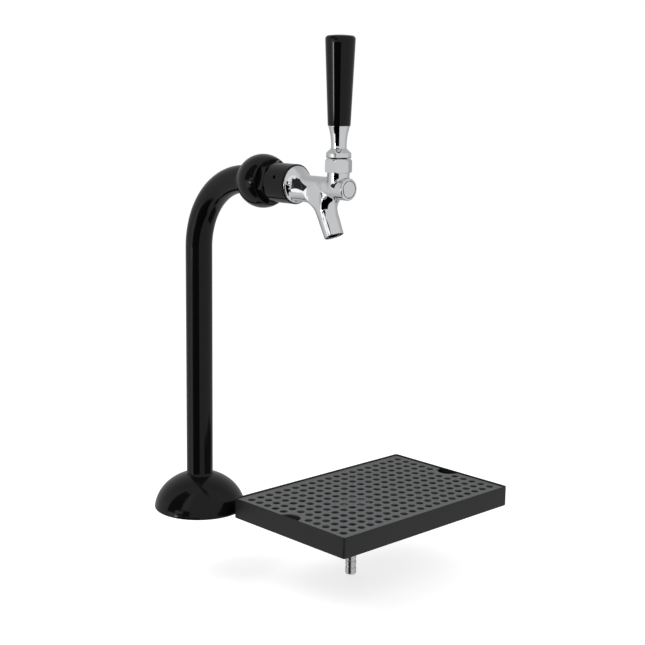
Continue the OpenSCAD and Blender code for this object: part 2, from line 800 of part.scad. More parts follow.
// Cap that turns over the bonnet, hollow underneath to the ball's own centre
module lever_collar() {
    cone_h = 4.1;
    color(bright_chrome) on_lever() difference() {
        rotate_extrude($fn = fine) polygon([
            [0, collar_low], [lever_collar_r, collar_low], [lever_collar_r, collar_top - cone_h],
            [ferrule_low_r + fixed_gap, collar_top], [0, collar_top]
        ]);
        translate([0, 0, pivot_h]) sphere(r = collar_hollow_r, $fn = fine);
        translate([0, 0, collar_low]) cylinder(r = stud_r + fixed_gap, h = 2 * lever_collar_h, $fn = fine);
    }
}

module handle_ferrule() {
    waist = 0.5;
    flare = 1.6;
    steps = 14;
    span = ferrule_top_r - ferrule_low_r;
    color(bright_chrome) on_lever() difference() {
        rotate_extrude($fn = fine) polygon(concat(
            [[0, collar_top]],
            [for (i = [0:steps])
                [ferrule_low_r + span * pow(i / steps, flare) - waist * sin(i * 180 / steps),
                 collar_top + ferrule_l * i / steps]],
            [[grip_pin_r, ferrule_top], [grip_pin_r, ferrule_top + grip_pin_l],
             [0, ferrule_top + grip_pin_l]]
        ));
        translate([0, 0, collar_top - over])
            cylinder(r = stud_r + fixed_gap, h = stud_top - collar_top + over + 1, $fn = fine);
    }
}

module handle_grip() {
    crown = 0.8;
    edge = 0.4;
    steps = 6;
    color(black_plastic) on_lever() difference() {
        rotate_extrude($fn = fine) polygon(concat(
            [[0, ferrule_top], [grip_low_r - edge, ferrule_top], [grip_low_r, ferrule_top + edge]],
            [for (i = [0:steps])
                [grip_top_r - grip_round_r * (1 - cos(i * 90 / steps)),
                 grip_top - crown - grip_round_r * (1 - sin(i * 90 / steps))]],
            [[(grip_top_r - grip_round_r) / 2, grip_top - crown / 4], [0, grip_top]]
        ));
        translate([0, 0, ferrule_top - over])
            cylinder(r = grip_pin_r + fixed_gap, h = grip_pin_l + over + fixed_gap, $fn = fine);
    }
}

module tray_pan() {
    color(tray_grey) difference() {
        on_tray() rounded_plate(tray_l, tray_w, tray_corner_r, tray_h);
        on_tray() translate([0, 0, tray_wall])
            rounded_plate(tray_l - 2 * tray_wall, tray_w - 2 * tray_wall, tray_corner_r - tray_wall, tray_h);
        on_drain() translate([0, 0, -over]) cylinder(r = drain_body_r + fixed_gap, h = tray_h, $fn = fine);
    }
}

// True where the finger notch takes a hole's place
function by_notch(i, j) =
    abs(i) == (holes_x - 1) / 2 && abs(j) * hole_pitch < notch_r + hole_d / 2;

// Perforated sheet with its edges folded down to stand in the pan
module grille() {
    fold_h = grille_top - tray_wall - loose_gap;
    sheet_z = grille_top - grille_t;
    notch_gap = notch_r + 3;
    side_l = grille_l - 2 * foot_inset;
    end_l = grille_w / 2 - foot_inset - notch_gap;
    color(tray_grey) on_tray() difference() {
        union() {
            translate([0, 0, sheet_z]) rounded_plate(grille_l, grille_w, grille_corner_r, grille_t);
            for (y = [-1, 1])
                translate([-side_l / 2, y * (grille_w - grille_t) / 2 - grille_t / 2, grille_top - fold_h])
                    cube([side_l, grille_t, fold_h]);
            for (x = [-1, 1], y = [-1, 1])
                translate([
                    x * (grille_l - grille_t) / 2 - grille_t / 2,
                    y * (notch_gap + end_l / 2) - end_l / 2,
                    grille_top - fold_h
                ]) cube([grille_t, end_l, fold_h]);
        }
        for (x = [-1, 1])
            translate([x * grille_l / 2, 0, sheet_z - over])
                cylinder(r = notch_r, h = grille_t + 2 * over, $fn = fine);
        for (i = [-(holes_x - 1) / 2:(holes_x - 1) / 2], j = [-(holes_y - 1) / 2:(holes_y - 1) / 2])
            if (!by_notch(i, j))
                translate([i * hole_pitch, j * hole_pitch, sheet_z - over])
                    cylinder(d = hole_d, h = grille_t + 2 * over, $fn = 24);
    }
}

// Drain outlet: a flange inside the pan, a threaded body and a grooved hose pipe
module drain_fitting() {
    flange_z = tray_wall + drain_gasket_t;
    color(steel) on_drain() difference() {
        union() {
            translate([0, 0, flange_z]) cylinder(r = drain_flange_r, h = drain_flange_t, $fn = fine);
            translate([0, 0, -drain_body_l])
                cylinder(r = drain_body_r, h = drain_body_l + flange_z, $fn = fine);
            translate([0, 0, -drain_drop + over]) cylinder(r = drain_pipe_r, h = drain_drop, $fn = fine);
            translate([0, 0, -drain_drop])
                cylinder(r1 = drain_pipe_r - drain_pipe_wall / 2, r2 = drain_pipe_r, h = over, $fn = fine);
        }
        translate([0, 0, -drain_drop - over])
            cylinder(r = drain_pipe_r - drain_pipe_wall, h = drain_drop + tray_h, $fn = fine);
        for (i = [1, 2])
            translate([0, 0, i * groove_step - drain_drop])
                tube(drain_pipe_r + over, drain_pipe_r - groove_depth, groove_l);
    }
}

module drain_gasket() {
    inset = 2;
    color(rubber) on_drain() translate([0, 0, tray_wall])
        tube(drain_flange_r - inset, drain_body_r + fixed_gap, drain_gasket_t);
}

module drain_nut() {
    chamfer = 1;
    color(steel) on_drain() translate([0, 0, -drain_nut_t])
        hex_nut(drain_nut_af, drain_nut_t, drain_body_r + fixed_gap, chamfer);
}

base_dome();
mounting_flange();
flange_gasket();
column_grub_screws();
column();
beer_line();
line_clamp();
line_joiner();
ball_housing();
shank();
shank_nut();
coupling_collar();
coupling_gasket();
faucet_body();
valve_shaft();
seat_washer();
washer_nut();
front_plug();
plug_seal();
ball_washer();
friction_washer();
bonnet_nut();
lever();
lever_collar();
handle_ferrule();
handle_grip();
tray_pan();
grille();
drain_fitting();
drain_gasket();
drain_nut();
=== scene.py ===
# Draft beer tower: a bent black column with a chromed faucet, and the drip tray that stands beside it
from math import acos, asin, atan2, cos, degrees, pi, radians, sin, sqrt, tan

import bmesh
import bpy
import numpy as np
from mathutils import Matrix, Vector


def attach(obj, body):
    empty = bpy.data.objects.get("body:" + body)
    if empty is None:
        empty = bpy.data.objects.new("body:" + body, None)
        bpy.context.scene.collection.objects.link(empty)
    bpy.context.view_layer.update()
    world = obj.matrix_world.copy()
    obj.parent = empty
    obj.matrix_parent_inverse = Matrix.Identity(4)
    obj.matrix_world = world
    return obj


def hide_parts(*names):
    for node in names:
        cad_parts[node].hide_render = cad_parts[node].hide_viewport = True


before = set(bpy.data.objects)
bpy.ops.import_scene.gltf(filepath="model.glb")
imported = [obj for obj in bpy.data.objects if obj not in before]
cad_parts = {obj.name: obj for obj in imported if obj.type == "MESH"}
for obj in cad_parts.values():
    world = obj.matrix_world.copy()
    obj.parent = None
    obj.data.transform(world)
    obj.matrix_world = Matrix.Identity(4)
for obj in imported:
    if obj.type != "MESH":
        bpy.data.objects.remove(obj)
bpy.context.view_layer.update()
scene = bpy.context.scene
scene.view_settings.view_transform = "Standard"
mm = 0.001
creaseAngle = 32  # faces that meet at more than this many degrees keep a sharp edge
print("frame loaded:", len(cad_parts), "solids")

# Places in millimetres that several pieces share; a reach is the distance in front of the column
layout = dict(
    axisHeight=385.0,
    tubeRadius=15.0,
    bendRadius=82.0,
    columnEnd=95.0,
    ballReach=109.0,
    flatReach=123.0,
    collarReach=131.5,
    leverReach=221.7,
    noseReach=237.5,
    fitGap=0.1,
    trayCentre=(137.0, -147.0),
    drainCentre=(137.0, -113.0),
)


def linear(code):  # an sRGB hex colour, turned to the linear values that shaders take
    parts = [int(code[i:i + 2], 16) / 255 for i in (1, 3, 5)]
    return tuple(v / 12.92 if v < 0.04045 else ((v + 0.055) / 1.055) ** 2.4 for v in parts) + (1.0,)


# A value is a setting or a link; a link is an output, or a node for its first output, or a list of these
def addNode(tree, kind, sockets=None):
    node = tree.nodes.new(kind)
    for key, value in (sockets or {}).items():
        sources = value if isinstance(value, list) else [value]
        if isinstance(sources[0], (bpy.types.Node, bpy.types.NodeSocket)):
            for source in sources:
                output = source.outputs[0] if isinstance(source, bpy.types.Node) else source
                tree.links.new(output, node.inputs[key])
        elif isinstance(key, int) or key in node.inputs:
            node.inputs[key].default_value = value
        else:
            setattr(node, key, value)
    return node


def emptyTree(owner):
    owner.use_nodes = True
    owner.node_tree.nodes.clear()
    return owner.node_tree


def makeFinish(name, surface, patterns, stretch=None):  # its patterns lie in the object's own coordinates
    material = bpy.data.materials.new(name)
    tree = emptyTree(material)
    place = addNode(tree, "ShaderNodeTexCoord").outputs["Object"]
    if stretch:
        place = addNode(tree, "ShaderNodeMapping", {"Scale": stretch, "Vector": place})
    looks = {}
    for use, (size, detail, low, high) in patterns.items():
        scale = 1 / (size * mm)
        grain = addNode(tree, "ShaderNodeTexNoise", {"Scale": scale, "Detail": detail, "Vector": place})
        if use == "gloss":
            spread = {"To Min": low, "To Max": high, "Value": grain}
            looks["Roughness"] = addNode(tree, "ShaderNodeMapRange", spread)
        elif use == "tones":
            mixed = {"data_type": "RGBA", 0: grain, 6: linear(low), 7: linear(high)}
            looks["Base Color"] = addNode(tree, "ShaderNodeMix", mixed).outputs[2]
        else:
            relief = {"Strength": low, "Distance": high * mm, "Height": grain}
            looks["Normal"] = addNode(tree, "ShaderNodeBump", relief)
    shader = addNode(tree, "ShaderNodeBsdfPrincipled", {**surface, **looks})
    addNode(tree, "ShaderNodeOutputMaterial", {"Surface": shader})
    return material


# Each finish is the shader's own settings and its patterns. A pattern is (size in millimetres, detail, low,
# high): gloss spreads the roughness, tones mixes two colours, and relief has a strength and a depth
grit = {"gloss": (0.5, 2, 0.42, 0.58), "relief": (0.5, 2, 0.3, 0.06)}
finishes = {
    # Gloss powder coat on steel: baked on, so it is smooth with a faint orange peel about 1.6 mm wide
    "glossPowderCoat": (
        {"Base Color": linear("#09090a"), "IOR": 1.5, "Specular IOR Level": 0.19},
        {"gloss": (40, 3, 0.09, 0.16), "relief": (1.6, 1, 0.06, 0.05)}),
    # Chrome plate over polished brass: mirror bright, with wipe marks too faint to break a reflection
    "chromePlate": (
        {"Base Color": linear("#d0d2d4"), "Metallic": 1.0},
        {"gloss": (9, 4, 0.02, 0.05)}),
    # Textured powder coat: a matt skin with grit about 0.5 mm across, black in the pan and darkened further
    # as painted shade for the shade under the grille
    "panCoatAndPaintedShade": (
        {"IOR": 1.5, "Specular IOR Level": 0.36},
        {**grit, "tones": (45, 3, "#0f1010", "#161617")}),
    # The same coat on the grille, painted lighter grey as painted light for the light that falls on its top
    "grilleCoatAndPaintedLight": (
        {"IOR": 1.5, "Specular IOR Level": 0.5},
        {**grit, "tones": (45, 3, "#464748", "#4c4d4e")}),
    # Stainless steel turned on a lathe: satin, with fine rings about 0.4 mm apart along Z
    "turnedStainless": (
        {"Base Color": linear("#b9bbbd"), "Metallic": 1.0},
        {"gloss": (0.4, 2, 0.2, 0.36), "relief": (0.4, 2, 0.1, 0.02)},
        (0.02, 0.02, 1.0)),
    # Machined brass of the small inner nut and washer: warm, satin and a little mottled
    "machinedBrass": (
        {"Metallic": 1.0},
        {"gloss": (3, 3, 0.22, 0.4), "tones": (3, 3, "#b98c45", "#cda35c")}),
    # Black nitrile rubber of the seals: soft black with a dusty bloom
    "nitrileRubber": (
        {"IOR": 1.52},
        {"gloss": (2, 3, 0.62, 0.85), "tones": (2, 3, "#171717", "#242424")}),
    # Milky polyethylene, extruded for the beer line and moulded for the lever's lower seat
    "milkyPolyethylene": (
        {"Base Color": linear("#dcdfd9"), "IOR": 1.51, "Subsurface Weight": 0.15},
        {"gloss": (6, 2, 0.28, 0.42)}),
    # Painted shade under the lever cap: a dark film on its underside and hollow, standing in for the shadow
    # in the gap above the bonnet
    "paintedShadeUnderCap": (
        {"Base Color": linear("#1b1b1a"), "IOR": 1.4},
        {"gloss": (2.5, 2, 0.25, 0.45)}),
    # Moulded phenolic of the handle: deep gloss black, with a faint flow in the gloss
    "mouldedPhenolic": (
        {"Base Color": linear("#060607"), "IOR": 1.55, "Specular IOR Level": 0.18},
        {"gloss": (14, 2, 0.03, 0.06)}),
}
materials = {name: makeFinish(name, *finish) for name, finish in finishes.items()}

# The solids that stay as the frame gives them
keptSolids = {
    "turnedStainless": ["mounting_flange", "column_grub_screws", "line_clamp", "line_joiner", "shank",
                        "valve_shaft", "lever"],
    "nitrileRubber": ["flange_gasket", "coupling_gasket", "seat_washer", "plug_seal", "drain_gasket"],
    "machinedBrass": ["washer_nut", "friction_washer"],
    "milkyPolyethylene": ["beer_line", "ball_washer"],
}
for finish, names in keptSolids.items():
    for name in names:
        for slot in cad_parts[name].material_slots:
            slot.material = materials[finish]
print("materials made, and given to", sum(map(len, keptSolids.values())), "kept solids")


def addObject(name, data):
    piece = bpy.data.objects.new(name, data)
    scene.collection.objects.link(piece)
    return piece


def makePiece(name, form, finish, sharp=creaseAngle):  # a form is its points in millimetres and its faces
    mesh = bpy.data.meshes.new(name)
    mesh.from_pydata([tuple(v) for v in np.asarray(form[0], float) * mm], [], form[1])
    work = bmesh.new()
    work.from_mesh(mesh)
    bmesh.ops.remove_doubles(work, verts=work.verts, dist=1e-6)
    bmesh.ops.recalc_face_normals(work, faces=work.faces)
    work.to_mesh(mesh)
    work.free()
    mesh.shade_smooth()
    mesh.set_sharp_from_angle(angle=radians(sharp))
    mesh.materials.append(materials[finish])
    return addObject(name, mesh)


def bakePiece(piece, sharp=None):  # turns what the modifiers make into the piece's plain mesh
    graph = bpy.context.evaluated_depsgraph_get()
    mesh = bpy.data.meshes.new_from_object(piece.evaluated_get(graph))
    name = piece.name
    bpy.data.objects.remove(piece)
    mesh.name = name
    if sharp is not None:
        mesh.shade_smooth()
        mesh.set_sharp_from_angle(angle=radians(sharp))
    return addObject(name, mesh)


def standFor(piece, body, slot, *replaced):
    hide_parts(*replaced)
    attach(piece, body)


def arc(middle, radii, first, last, steps):  # points along part of an ellipse, between two angles in degrees
    turns = np.radians(np.linspace(first, last, steps + 1))
    return [(middle[0] + radii[0] * cos(a), middle[1] + radii[1] * sin(a)) for a in turns]


# Rounds the corners of an outline; each corner is (radius from the axis, height, rounding)
def rounded(corners, turn=9):
    made = []
    for i, (x, y, rounding) in enumerate(corners):
        if rounding <= 0:
            made.append((x, y))
            continue
        corner = np.array((x, y))
        before = corners[i - 1][:2] - corner
        after = corners[(i + 1) % len(corners)][:2] - corner
        lengths = np.linalg.norm(before), np.linalg.norm(after)
        before, after = before / lengths[0], after / lengths[1]
        opening = acos(float(np.clip(before @ after, -1, 1)))
        reach, swing = rounding / tan(opening / 2), pi - opening
        middle = corner + (before + after) / np.linalg.norm(before + after) * rounding / sin(opening / 2)
        first, last = corner + before * reach - middle, corner + after * reach - middle
        held = min(rounding / 3, 0.4)  # an extra loop each side keeps the flat faces flat in shading
        if lengths[0] > reach + 2 * held:
            made.append(middle + first + before * held)
        for share in np.linspace(0, 1, max(2, int(degrees(swing) / turn)) + 1):
            arm = sin((1 - share) * swing) * first + sin(share * swing) * last
            made.append(middle + arm / sin(swing))
        if lengths[1] > reach + 2 * held:
            made.append(middle + last + after * held)
    return made


def stackRings(rings):  # joins closed rings of equal count into one closed tube-like shell
    sides = len(rings[0])
    verts = np.array([v for ring in rings for v in ring])
    faces = []
    for r in range(len(rings)):
        a, b = r * sides, (r + 1) % len(rings) * sides
        faces += [(a + k, a + (k + 1) % sides, b + (k + 1) % sides, b + k) for k in range(sides)]
    return verts, faces


def lathe(outline, sides=128):  # turns a closed outline about local Z
    turns = [2 * pi * k / sides for k in range(sides)]
    verts, faces, rings = [], [], []
    for radius, height in outline:
        if radius < 1e-6:
            rings.append([len(verts)])
            verts.append((0.0, 0.0, height))
        else:
            rings.append(list(range(len(verts), len(verts) + sides)))
            verts += [(radius * cos(t), radius * sin(t), height) for t in turns]
    for low, high in zip(rings, rings[1:] + rings[:1]):
        for k in range(sides if len(low) + len(high) > 2 else 0):
            a, b = k % len(low), (k + 1) % len(low)
            c, d = (k + 1) % len(high), k % len(high)
            faces.append(tuple(dict.fromkeys((low[a], low[b], high[c], high[d]))))  # a triangle at a pole
    return np.array(verts), faces


def hexCorner(nut):
    return nut["acrossFlats"] / 2 / cos(radians(30))


# Hexagonal nut; low and top are (radius of the chamfer at the face, height of the chamfer)
def hexForm(nut, low, top, bore, sides=96):
    corner, height = hexCorner(nut), nut["height"]
    rings = [[] for _ in range(4 + len(bore))]
    for angle in 360 * np.arange(sides) / sides:
        reach = nut["acrossFlats"] / 2 / cos(radians(angle % 60 - 30))
        lowZ = max(0.0, (reach - low[0]) / (corner - low[0]) * low[1])
        topZ = height - max(0.0, (reach - top[0]) / (corner - top[0]) * top[1])
        steps = [(min(reach, low[0]), 0), (reach, lowZ), (reach, topZ), (min(reach, top[0]), height)]
        way = radians(angle + nut["turn"])
        for ring, (radius, z) in zip(rings, steps + bore):
            ring.append((radius * cos(way), radius * sin(way), z))
    return stackRings(rings)


def plainNut(nut):  # chamfered alike on both faces, with a plain bore
    cut = (hexCorner(nut) - nut["chamfer"], nut["chamfer"] * 0.6)
    return hexForm(nut, cut, cut, [(nut["bore"], nut["height"]), (nut["bore"], 0)])


def softenEdges(piece, width, angle=24, segments=2):
    bevel = piece.modifiers.new("edge", "BEVEL")
    bevel.width = width * mm
    bevel.segments = segments
    bevel.limit_method = "ANGLE"
    bevel.angle_limit = radians(angle)
    bevel.harden_normals = True
    return bakePiece(piece)


def onAxis(form, reach):  # local Z runs forward along the faucet's axis
    x, y, z = form[0].T
    return np.c_[x, -(reach + z), layout["axisHeight"] + y], form[1]


def onLever(form, height=0.0):
    return form[0] + (0, -layout["leverReach"], layout["axisHeight"] + height), form[1]


def onDrain(form, height=0.0):
    return form[0] + (*layout["drainCentre"], height), form[1]


# Foot: a spun dome, an ellipse with a rolled lip below and a small cove round the tube
dome = dict(radius=52.5, height=43.0, rise=45.4, sink=3.0, wall=2.5, lip=2.0, cove=3.0, neck=3.0)


def domeHalf(inset):
    return (dome["radius"] - inset) / sqrt(1 - (dome["sink"] / (dome["rise"] - inset)) ** 2)


def domePoint(angle, inset):
    return domeHalf(inset) * cos(angle), (dome["rise"] - inset) * sin(angle) - dome["sink"]


def domeOutline():
    tube, lip, cove, wall = layout["tubeRadius"], dome["lip"], dome["cove"], dome["wall"]
    bore = tube + layout["fitGap"]
    low = asin((lip + dome["sink"]) / dome["rise"])
    high = acos((tube + cove) / domeHalf(0))
    inHigh = acos((bore + dome["neck"]) / domeHalf(wall))
    inLow = asin(dome["sink"] / (dome["rise"] - wall))
    edge, coveFoot = domePoint(low, 0)[0], domePoint(high, 0)[1]
    outline = arc((edge - lip, lip), (lip, lip), -90, -9, 9)
    outline += [domePoint(angle, 0) for angle in np.linspace(low, high, 73)]
    coveSize = (cove - layout["fitGap"], coveFoot - dome["height"])
    outline += arc((tube + cove, dome["height"]), coveSize, 99, 180, 9)
    outline += [(bore, domePoint(inHigh, wall)[1])]
    return outline + [domePoint(angle, wall) for angle in np.linspace(inHigh, inLow, 41)]


piece = makePiece("foot_dome", lathe(domeOutline(), 160), "glossPowderCoat")
standFor(piece, "tower", "black_coat", "base_dome")


def newTree(name, sizes):  # a Geometry Nodes tree with an input for each size, and what those inputs give
    tree = bpy.data.node_groups.new(name, "GeometryNodeTree")
    kinds = {float: "NodeSocketFloat", int: "NodeSocketInt", tuple: "NodeSocketVector"}
    tree.interface.new_socket("Geometry", in_out="INPUT", socket_type="NodeSocketGeometry")
    for label, value in sizes.items():
        tree.interface.new_socket(label, in_out="INPUT", socket_type=kinds[type(value)]).default_value = value
    tree.interface.new_socket("Geometry", in_out="OUTPUT", socket_type="NodeSocketGeometry")
    return tree, addNode(tree, "NodeGroupInput").outputs


def finishTree(tree, geometry, finish):
    real = addNode(tree, "GeometryNodeRealizeInstances", {"Geometry": geometry})
    painted = addNode(tree, "GeometryNodeSetMaterial", {"Material": materials[finish], "Geometry": real})
    addNode(tree, "NodeGroupOutput", {"Geometry": painted})


def applyTree(piece, tree, sizes):
    modifier = piece.modifiers.new(tree.name, "NODES")
    modifier.node_group = tree
    for item in tree.interface.items_tree:
        if item.name in sizes:
            modifier[item.identifier] = sizes[item.name]


def pathCurve(name, points, cyclic=False):
    curve = bpy.data.curves.new(name, "CURVE")
    curve.dimensions = "3D"
    spline = curve.splines.new("POLY")
    spline.points.add(len(points) - 1)
    for point, place in zip(spline.points, points):
        point.co = (*[v * mm for v in place], 1)
    spline.use_cyclic_u = cyclic
    return addObject(name, curve)


# Column: one tube bent through a quarter turn, swept along its centreline
column = dict(wall=1.5, foot=7.0, lead=1.0, sides=96, bendSteps=72)
sizes = {"Tube Radius": layout["tubeRadius"] * mm, "Sides": column["sides"]}
tree, inputs = newTree("bentTube", sizes)
ring = addNode(tree, "GeometryNodeCurvePrimitiveCircle", {
    "Resolution": inputs["Sides"], "Radius": inputs["Tube Radius"]})
sweep = addNode(tree, "GeometryNodeCurveToMesh", {"Curve": inputs["Geometry"], "Profile Curve": ring})
smooth = addNode(tree, "GeometryNodeSetShadeSmooth", {"Geometry": sweep})
finishTree(tree, smooth, "glossPowderCoat")

bend, axisHeight = layout["bendRadius"], layout["axisHeight"]
path = [(0, 0, column["foot"]), (0, 0, axisHeight - bend - column["lead"])]
path += [(0, y, z) for y, z in arc((-bend, axisHeight - bend), (bend, bend), 0, 90, column["bendSteps"])]
path += [(0, -bend - column["lead"], axisHeight), (0, -layout["columnEnd"], axisHeight)]
piece = pathCurve("column_tube", path)
applyTree(piece, tree, sizes)
piece = bakePiece(piece)
wall = piece.modifiers.new("wall", "SOLIDIFY")
wall.thickness = column["wall"] * mm
wall.offset = -1
standFor(bakePiece(piece, creaseAngle), "tower", "black_coat", "column")
print("foot and column made")

# Ball: turned from solid, with a fillet round the column's socket and a flat for the lock nut
ball = dict(radius=28.3, flat=14.0, socket=14.0, fillet=10.0, lip=0.3, bore=11.1, flatEdge=0.7)


def ballOutline():
    radius, fillet, flat, bore = ball["radius"], ball["fillet"], ball["flat"], ball["bore"]
    reach = layout["tubeRadius"] + ball["lip"] + fillet
    turn = acos(reach / (radius + fillet))
    back = -(radius + fillet) * sin(turn)
    seat = layout["tubeRadius"] + layout["fitGap"]
    front = asin(flat / radius) - ball["flatEdge"] / radius
    rim = radius * cos(front)
    outline = arc((reach, back), (-fillet, fillet), 0, degrees(turn) * 11 / 12, 11)
    outline += arc((0, 0), (radius, radius), -degrees(turn), degrees(front), 64)
    outline += [(rim - 0.3, flat - 0.14), (rim - 0.8, flat), (rim - 1.6, flat)]
    return outline + [(bore, flat), (bore, -ball["socket"]), (seat, -ball["socket"]), (seat, back)]


piece = makePiece("ball_knuckle", onAxis(lathe(ballOutline(), 160), layout["ballReach"]), "glossPowderCoat")
standFor(piece, "tower", "black_coat", "ball_housing")

# Lock nut on the ball's flat
lockNut = dict(acrossFlats=40.0, height=8.5, chamfer=1.4, bore=11.1, turn=16.0, edge=0.35)
piece = makePiece("lock_nut", onAxis(plainNut(lockNut), layout["flatReach"]), "glossPowderCoat")
standFor(softenEdges(piece, lockNut["edge"]), "tower", "black_coat", "shank_nut")

# Coupling collar: a turned sleeve with four spanner holes
collar = dict(radius=20.5, length=29.5, lip=4.5, thread=14.4, mouth=18.95, mouthDepth=3.0, holes=4,
              holeRadius=2.0, holeReach=15.93, holeFloor=16.4, holeTurn=159.0, drillLength=12.0)
radius, length, bore = collar["radius"], collar["length"], lockNut["bore"]
shelf = length - collar["mouthDepth"]
form = lathe(rounded([
    (bore, 0, 0.3), (radius, 0, 0.8), (radius, length, 0.5), (collar["mouth"], length, 0.35),
    (collar["mouth"], shelf, 0), (collar["thread"], shelf, 0), (collar["thread"], collar["lip"], 0),
    (bore, collar["lip"], 0)]), 160)
piece = makePiece("coupling_sleeve", onAxis(form, layout["collarReach"]), "glossPowderCoat")
drills = []
radius, length = collar["holeRadius"], collar["drillLength"]
for k in range(collar["holes"]):
    verts, faces = lathe([(0, 0), (radius, 0), (radius, length), (0, length)], 32)
    way = radians(collar["holeTurn"] + 360 * k / collar["holes"])
    x, y, z = verts.T
    out = collar["holeFloor"] + z
    local = np.c_[out * cos(way) - y * sin(way), out * sin(way) + y * cos(way), collar["holeReach"] + x]
    drills.append(makePiece("drill", onAxis((local, faces), layout["collarReach"]), "glossPowderCoat"))
    cutter = piece.modifiers.new("hole", "BOOLEAN")
    cutter.object = drills[-1]
    cutter.solver = "EXACT"
piece = bakePiece(piece, creaseAngle)
for drill in drills:
    bpy.data.objects.remove(drill)
standFor(piece, "tower", "black_coat", "coupling_collar")
print("ball, lock nut and coupling made")

# Faucet body: a casting, made as a field of distances so that the barrel, neck and spout flow together
faucet = dict(
    tail=14.3, tailReach=142.5, shoulder=18.75, shoulderReach=158.0, coveReach=161.5,
    shoulderRound=1.2, coveEnd=169.0, barrel=10.3, blendReach=199.7, blendLength=9.0,
    horn=11.3, hornReach=161.5, hornDrop=1.0, hornLength=30.0, hornBack=8.0, hornTilt=13.4,
    hornSweep=2.2, hornFrom=159.0,
    nose=11.0, noseRound=1.7, neck=11.1, neckTop=15.8, spigot=10.0, spigotTop=20.5,
    spoutTilt=25.5, spoutDrop=48.0, spoutReach=216.9, mouth=9.75, mouthEdge=0.5,
    stem=10.2, root=11.8, sweep=1.3, swellFrom=0.36, swellTo=0.84,
    hornBlend=4.0, rearFillet=9.0, topFillet=3.0, frontFillet=16.0, filletDepth=14.0,
    neckBlend=2.5, flank=10.7, flankFrom=187.0, flankTo=206.0, flankTaper=0.17, flankEnd=168.0,
    flankBlend=1.2, flankDraft=0.12, draftEnd=190.0, draftFade=10.0, cellSize=0.46,
)
passages = dict(
    chamber=9.0, chamberFrom=130.0, seatReach=170.0, seat=6.2, seatEnd=174.0, rod=6.56,
    plugShank=7.5, plugReach=229.0, recess=8.85, recessDepth=2.5, slotHalf=3.4, slotFront=3.6,
    slotBack=9.8, slotTop=14.25, well=6.2, wellFloor=12.5, cup=8.6, cupFloor=16.0,
    spoutBore=8.15, spoutBoreDepth=36.0, spoutPassage=7.15, spoutPassageDepth=48.18,
    lip=9.25, lipDepth=4.0, edge=0.35,
)


def barrelOutline():
    f = faucet
    coveStart = f["coveReach"] + f["shoulderRound"]
    edge = f["shoulder"] - f["shoulderRound"]
    nose, turn = f["nose"], f["noseRound"]
    outline = [(0, f["tailReach"]), (f["tail"], f["tailReach"]), (f["tail"], f["shoulderReach"]),
               (f["shoulder"], f["shoulderReach"])]
    outline += arc((edge, f["coveReach"]), (f["shoulderRound"], f["shoulderRound"]), 0, 87.75, 13)
    outline += arc((edge, f["coveEnd"]), (f["barrel"] - edge, coveStart - f["coveEnd"]), 87.75, 0, 39)
    for share in np.linspace(0, 1, 41):
        swell = (f["barrel"] - nose) * (1 + cos(pi * share)) / 2
        outline.append((nose + swell, f["blendReach"] + f["blendLength"] * share))
    outline += arc((nose - turn, layout["noseReach"] - turn), (turn, turn), 0, 90, 10)
    return outline + [(0, layout["noseReach"])]


def hornOutline():
    f = faucet
    whole = f["hornLength"] + f["hornBack"]
    flare = f["shoulder"] - f["shoulderRound"] - f["horn"]
    outline = [(0, -f["hornBack"])]
    outline += [(f["horn"] + flare * (whole / f["hornLength"] * (1 - k / 60)) ** f["hornSweep"],
                 whole * k / 60 - f["hornBack"]) for k in range(61)]
    return outline + arc((0, f["hornLength"]), (f["horn"], f["horn"]), 4, 90, 23)


def spoutOutline():
    f = faucet
    length = f["spoutDrop"] / cos(radians(f["spoutTilt"]))
    first, last = length * f["swellFrom"], length * f["swellTo"]
    edge = f["mouthEdge"]
    outline = [(0, 0), (f["mouth"] - edge, 0), (f["mouth"] - 0.3 * edge, 0.3 * edge), (f["mouth"], edge)]
    outline += [(f["mouth"] + (f["stem"] - f["mouth"]) * (1 - cos(pi * k / 24)) / 2,
                 edge + (first - edge) * k / 24) for k in range(1, 24)]
    outline += [(f["stem"] + (f["root"] - f["stem"]) * share ** f["sweep"], first + (last - first) * share)
                for share in np.linspace(0, 1, 61)]
    return outline + arc((0, last), (f["root"], f["root"]), 4, 90, 23)


# Distance to a turned outline, looked up by radius and height
def turnedField(outline, cell=0.08, margin=11.0):
    points = np.array(outline, np.float32)
    low = points[:, 1].min() - margin
    radii = np.arange(0, points[:, 0].max() + margin, cell, np.float32)
    heights = np.arange(low, points[:, 1].max() + margin, cell, np.float32)
    r, h = np.meshgrid(radii, heights, indexing="ij")
    nearest = np.full(r.shape, 1e9, np.float32)
    inside = np.zeros(r.shape, bool)
    for (r0, h0), (r1, h1) in zip(points, np.roll(points, -1, axis=0)):
        along = (r1 - r0) ** 2 + (h1 - h0) ** 2
        if along == 0:
            continue
        if not (r0 == 0 and r1 == 0):
            share = np.clip(((r - r0) * (r1 - r0) + (h - h0) * (h1 - h0)) / along, 0, 1)
            across, up = r - r0 - share * (r1 - r0), h - h0 - share * (h1 - h0)
            nearest = np.minimum(nearest, across ** 2 + up ** 2)
        if h0 != h1:
            inside ^= ((h0 > h) != (h1 > h)) & (r < (r1 - r0) * (h - h0) / (h1 - h0) + r0)
    table = np.where(inside, -1, 1) * np.sqrt(nearest)

    def look(radius, height):
        u = np.clip(radius / cell, 0, len(radii) - 1.001)
        v = np.clip((height - low) / cell, 0, len(heights) - 1.001)
        i, j = u.astype(int), v.astype(int)
        u, v = u - i, v - j
        return ((table[i, j] * (1 - v) + table[i, j + 1] * v) * (1 - u)
                + (table[i + 1, j] * (1 - v) + table[i + 1, j + 1] * v) * u)

    return look


def blendSolids(a, b, width):  # union with a fillet; width sets how far it reaches
    h = np.maximum(width - np.abs(a - b), 0) / width
    return np.minimum(a, b) - h ** 3 * width / 6


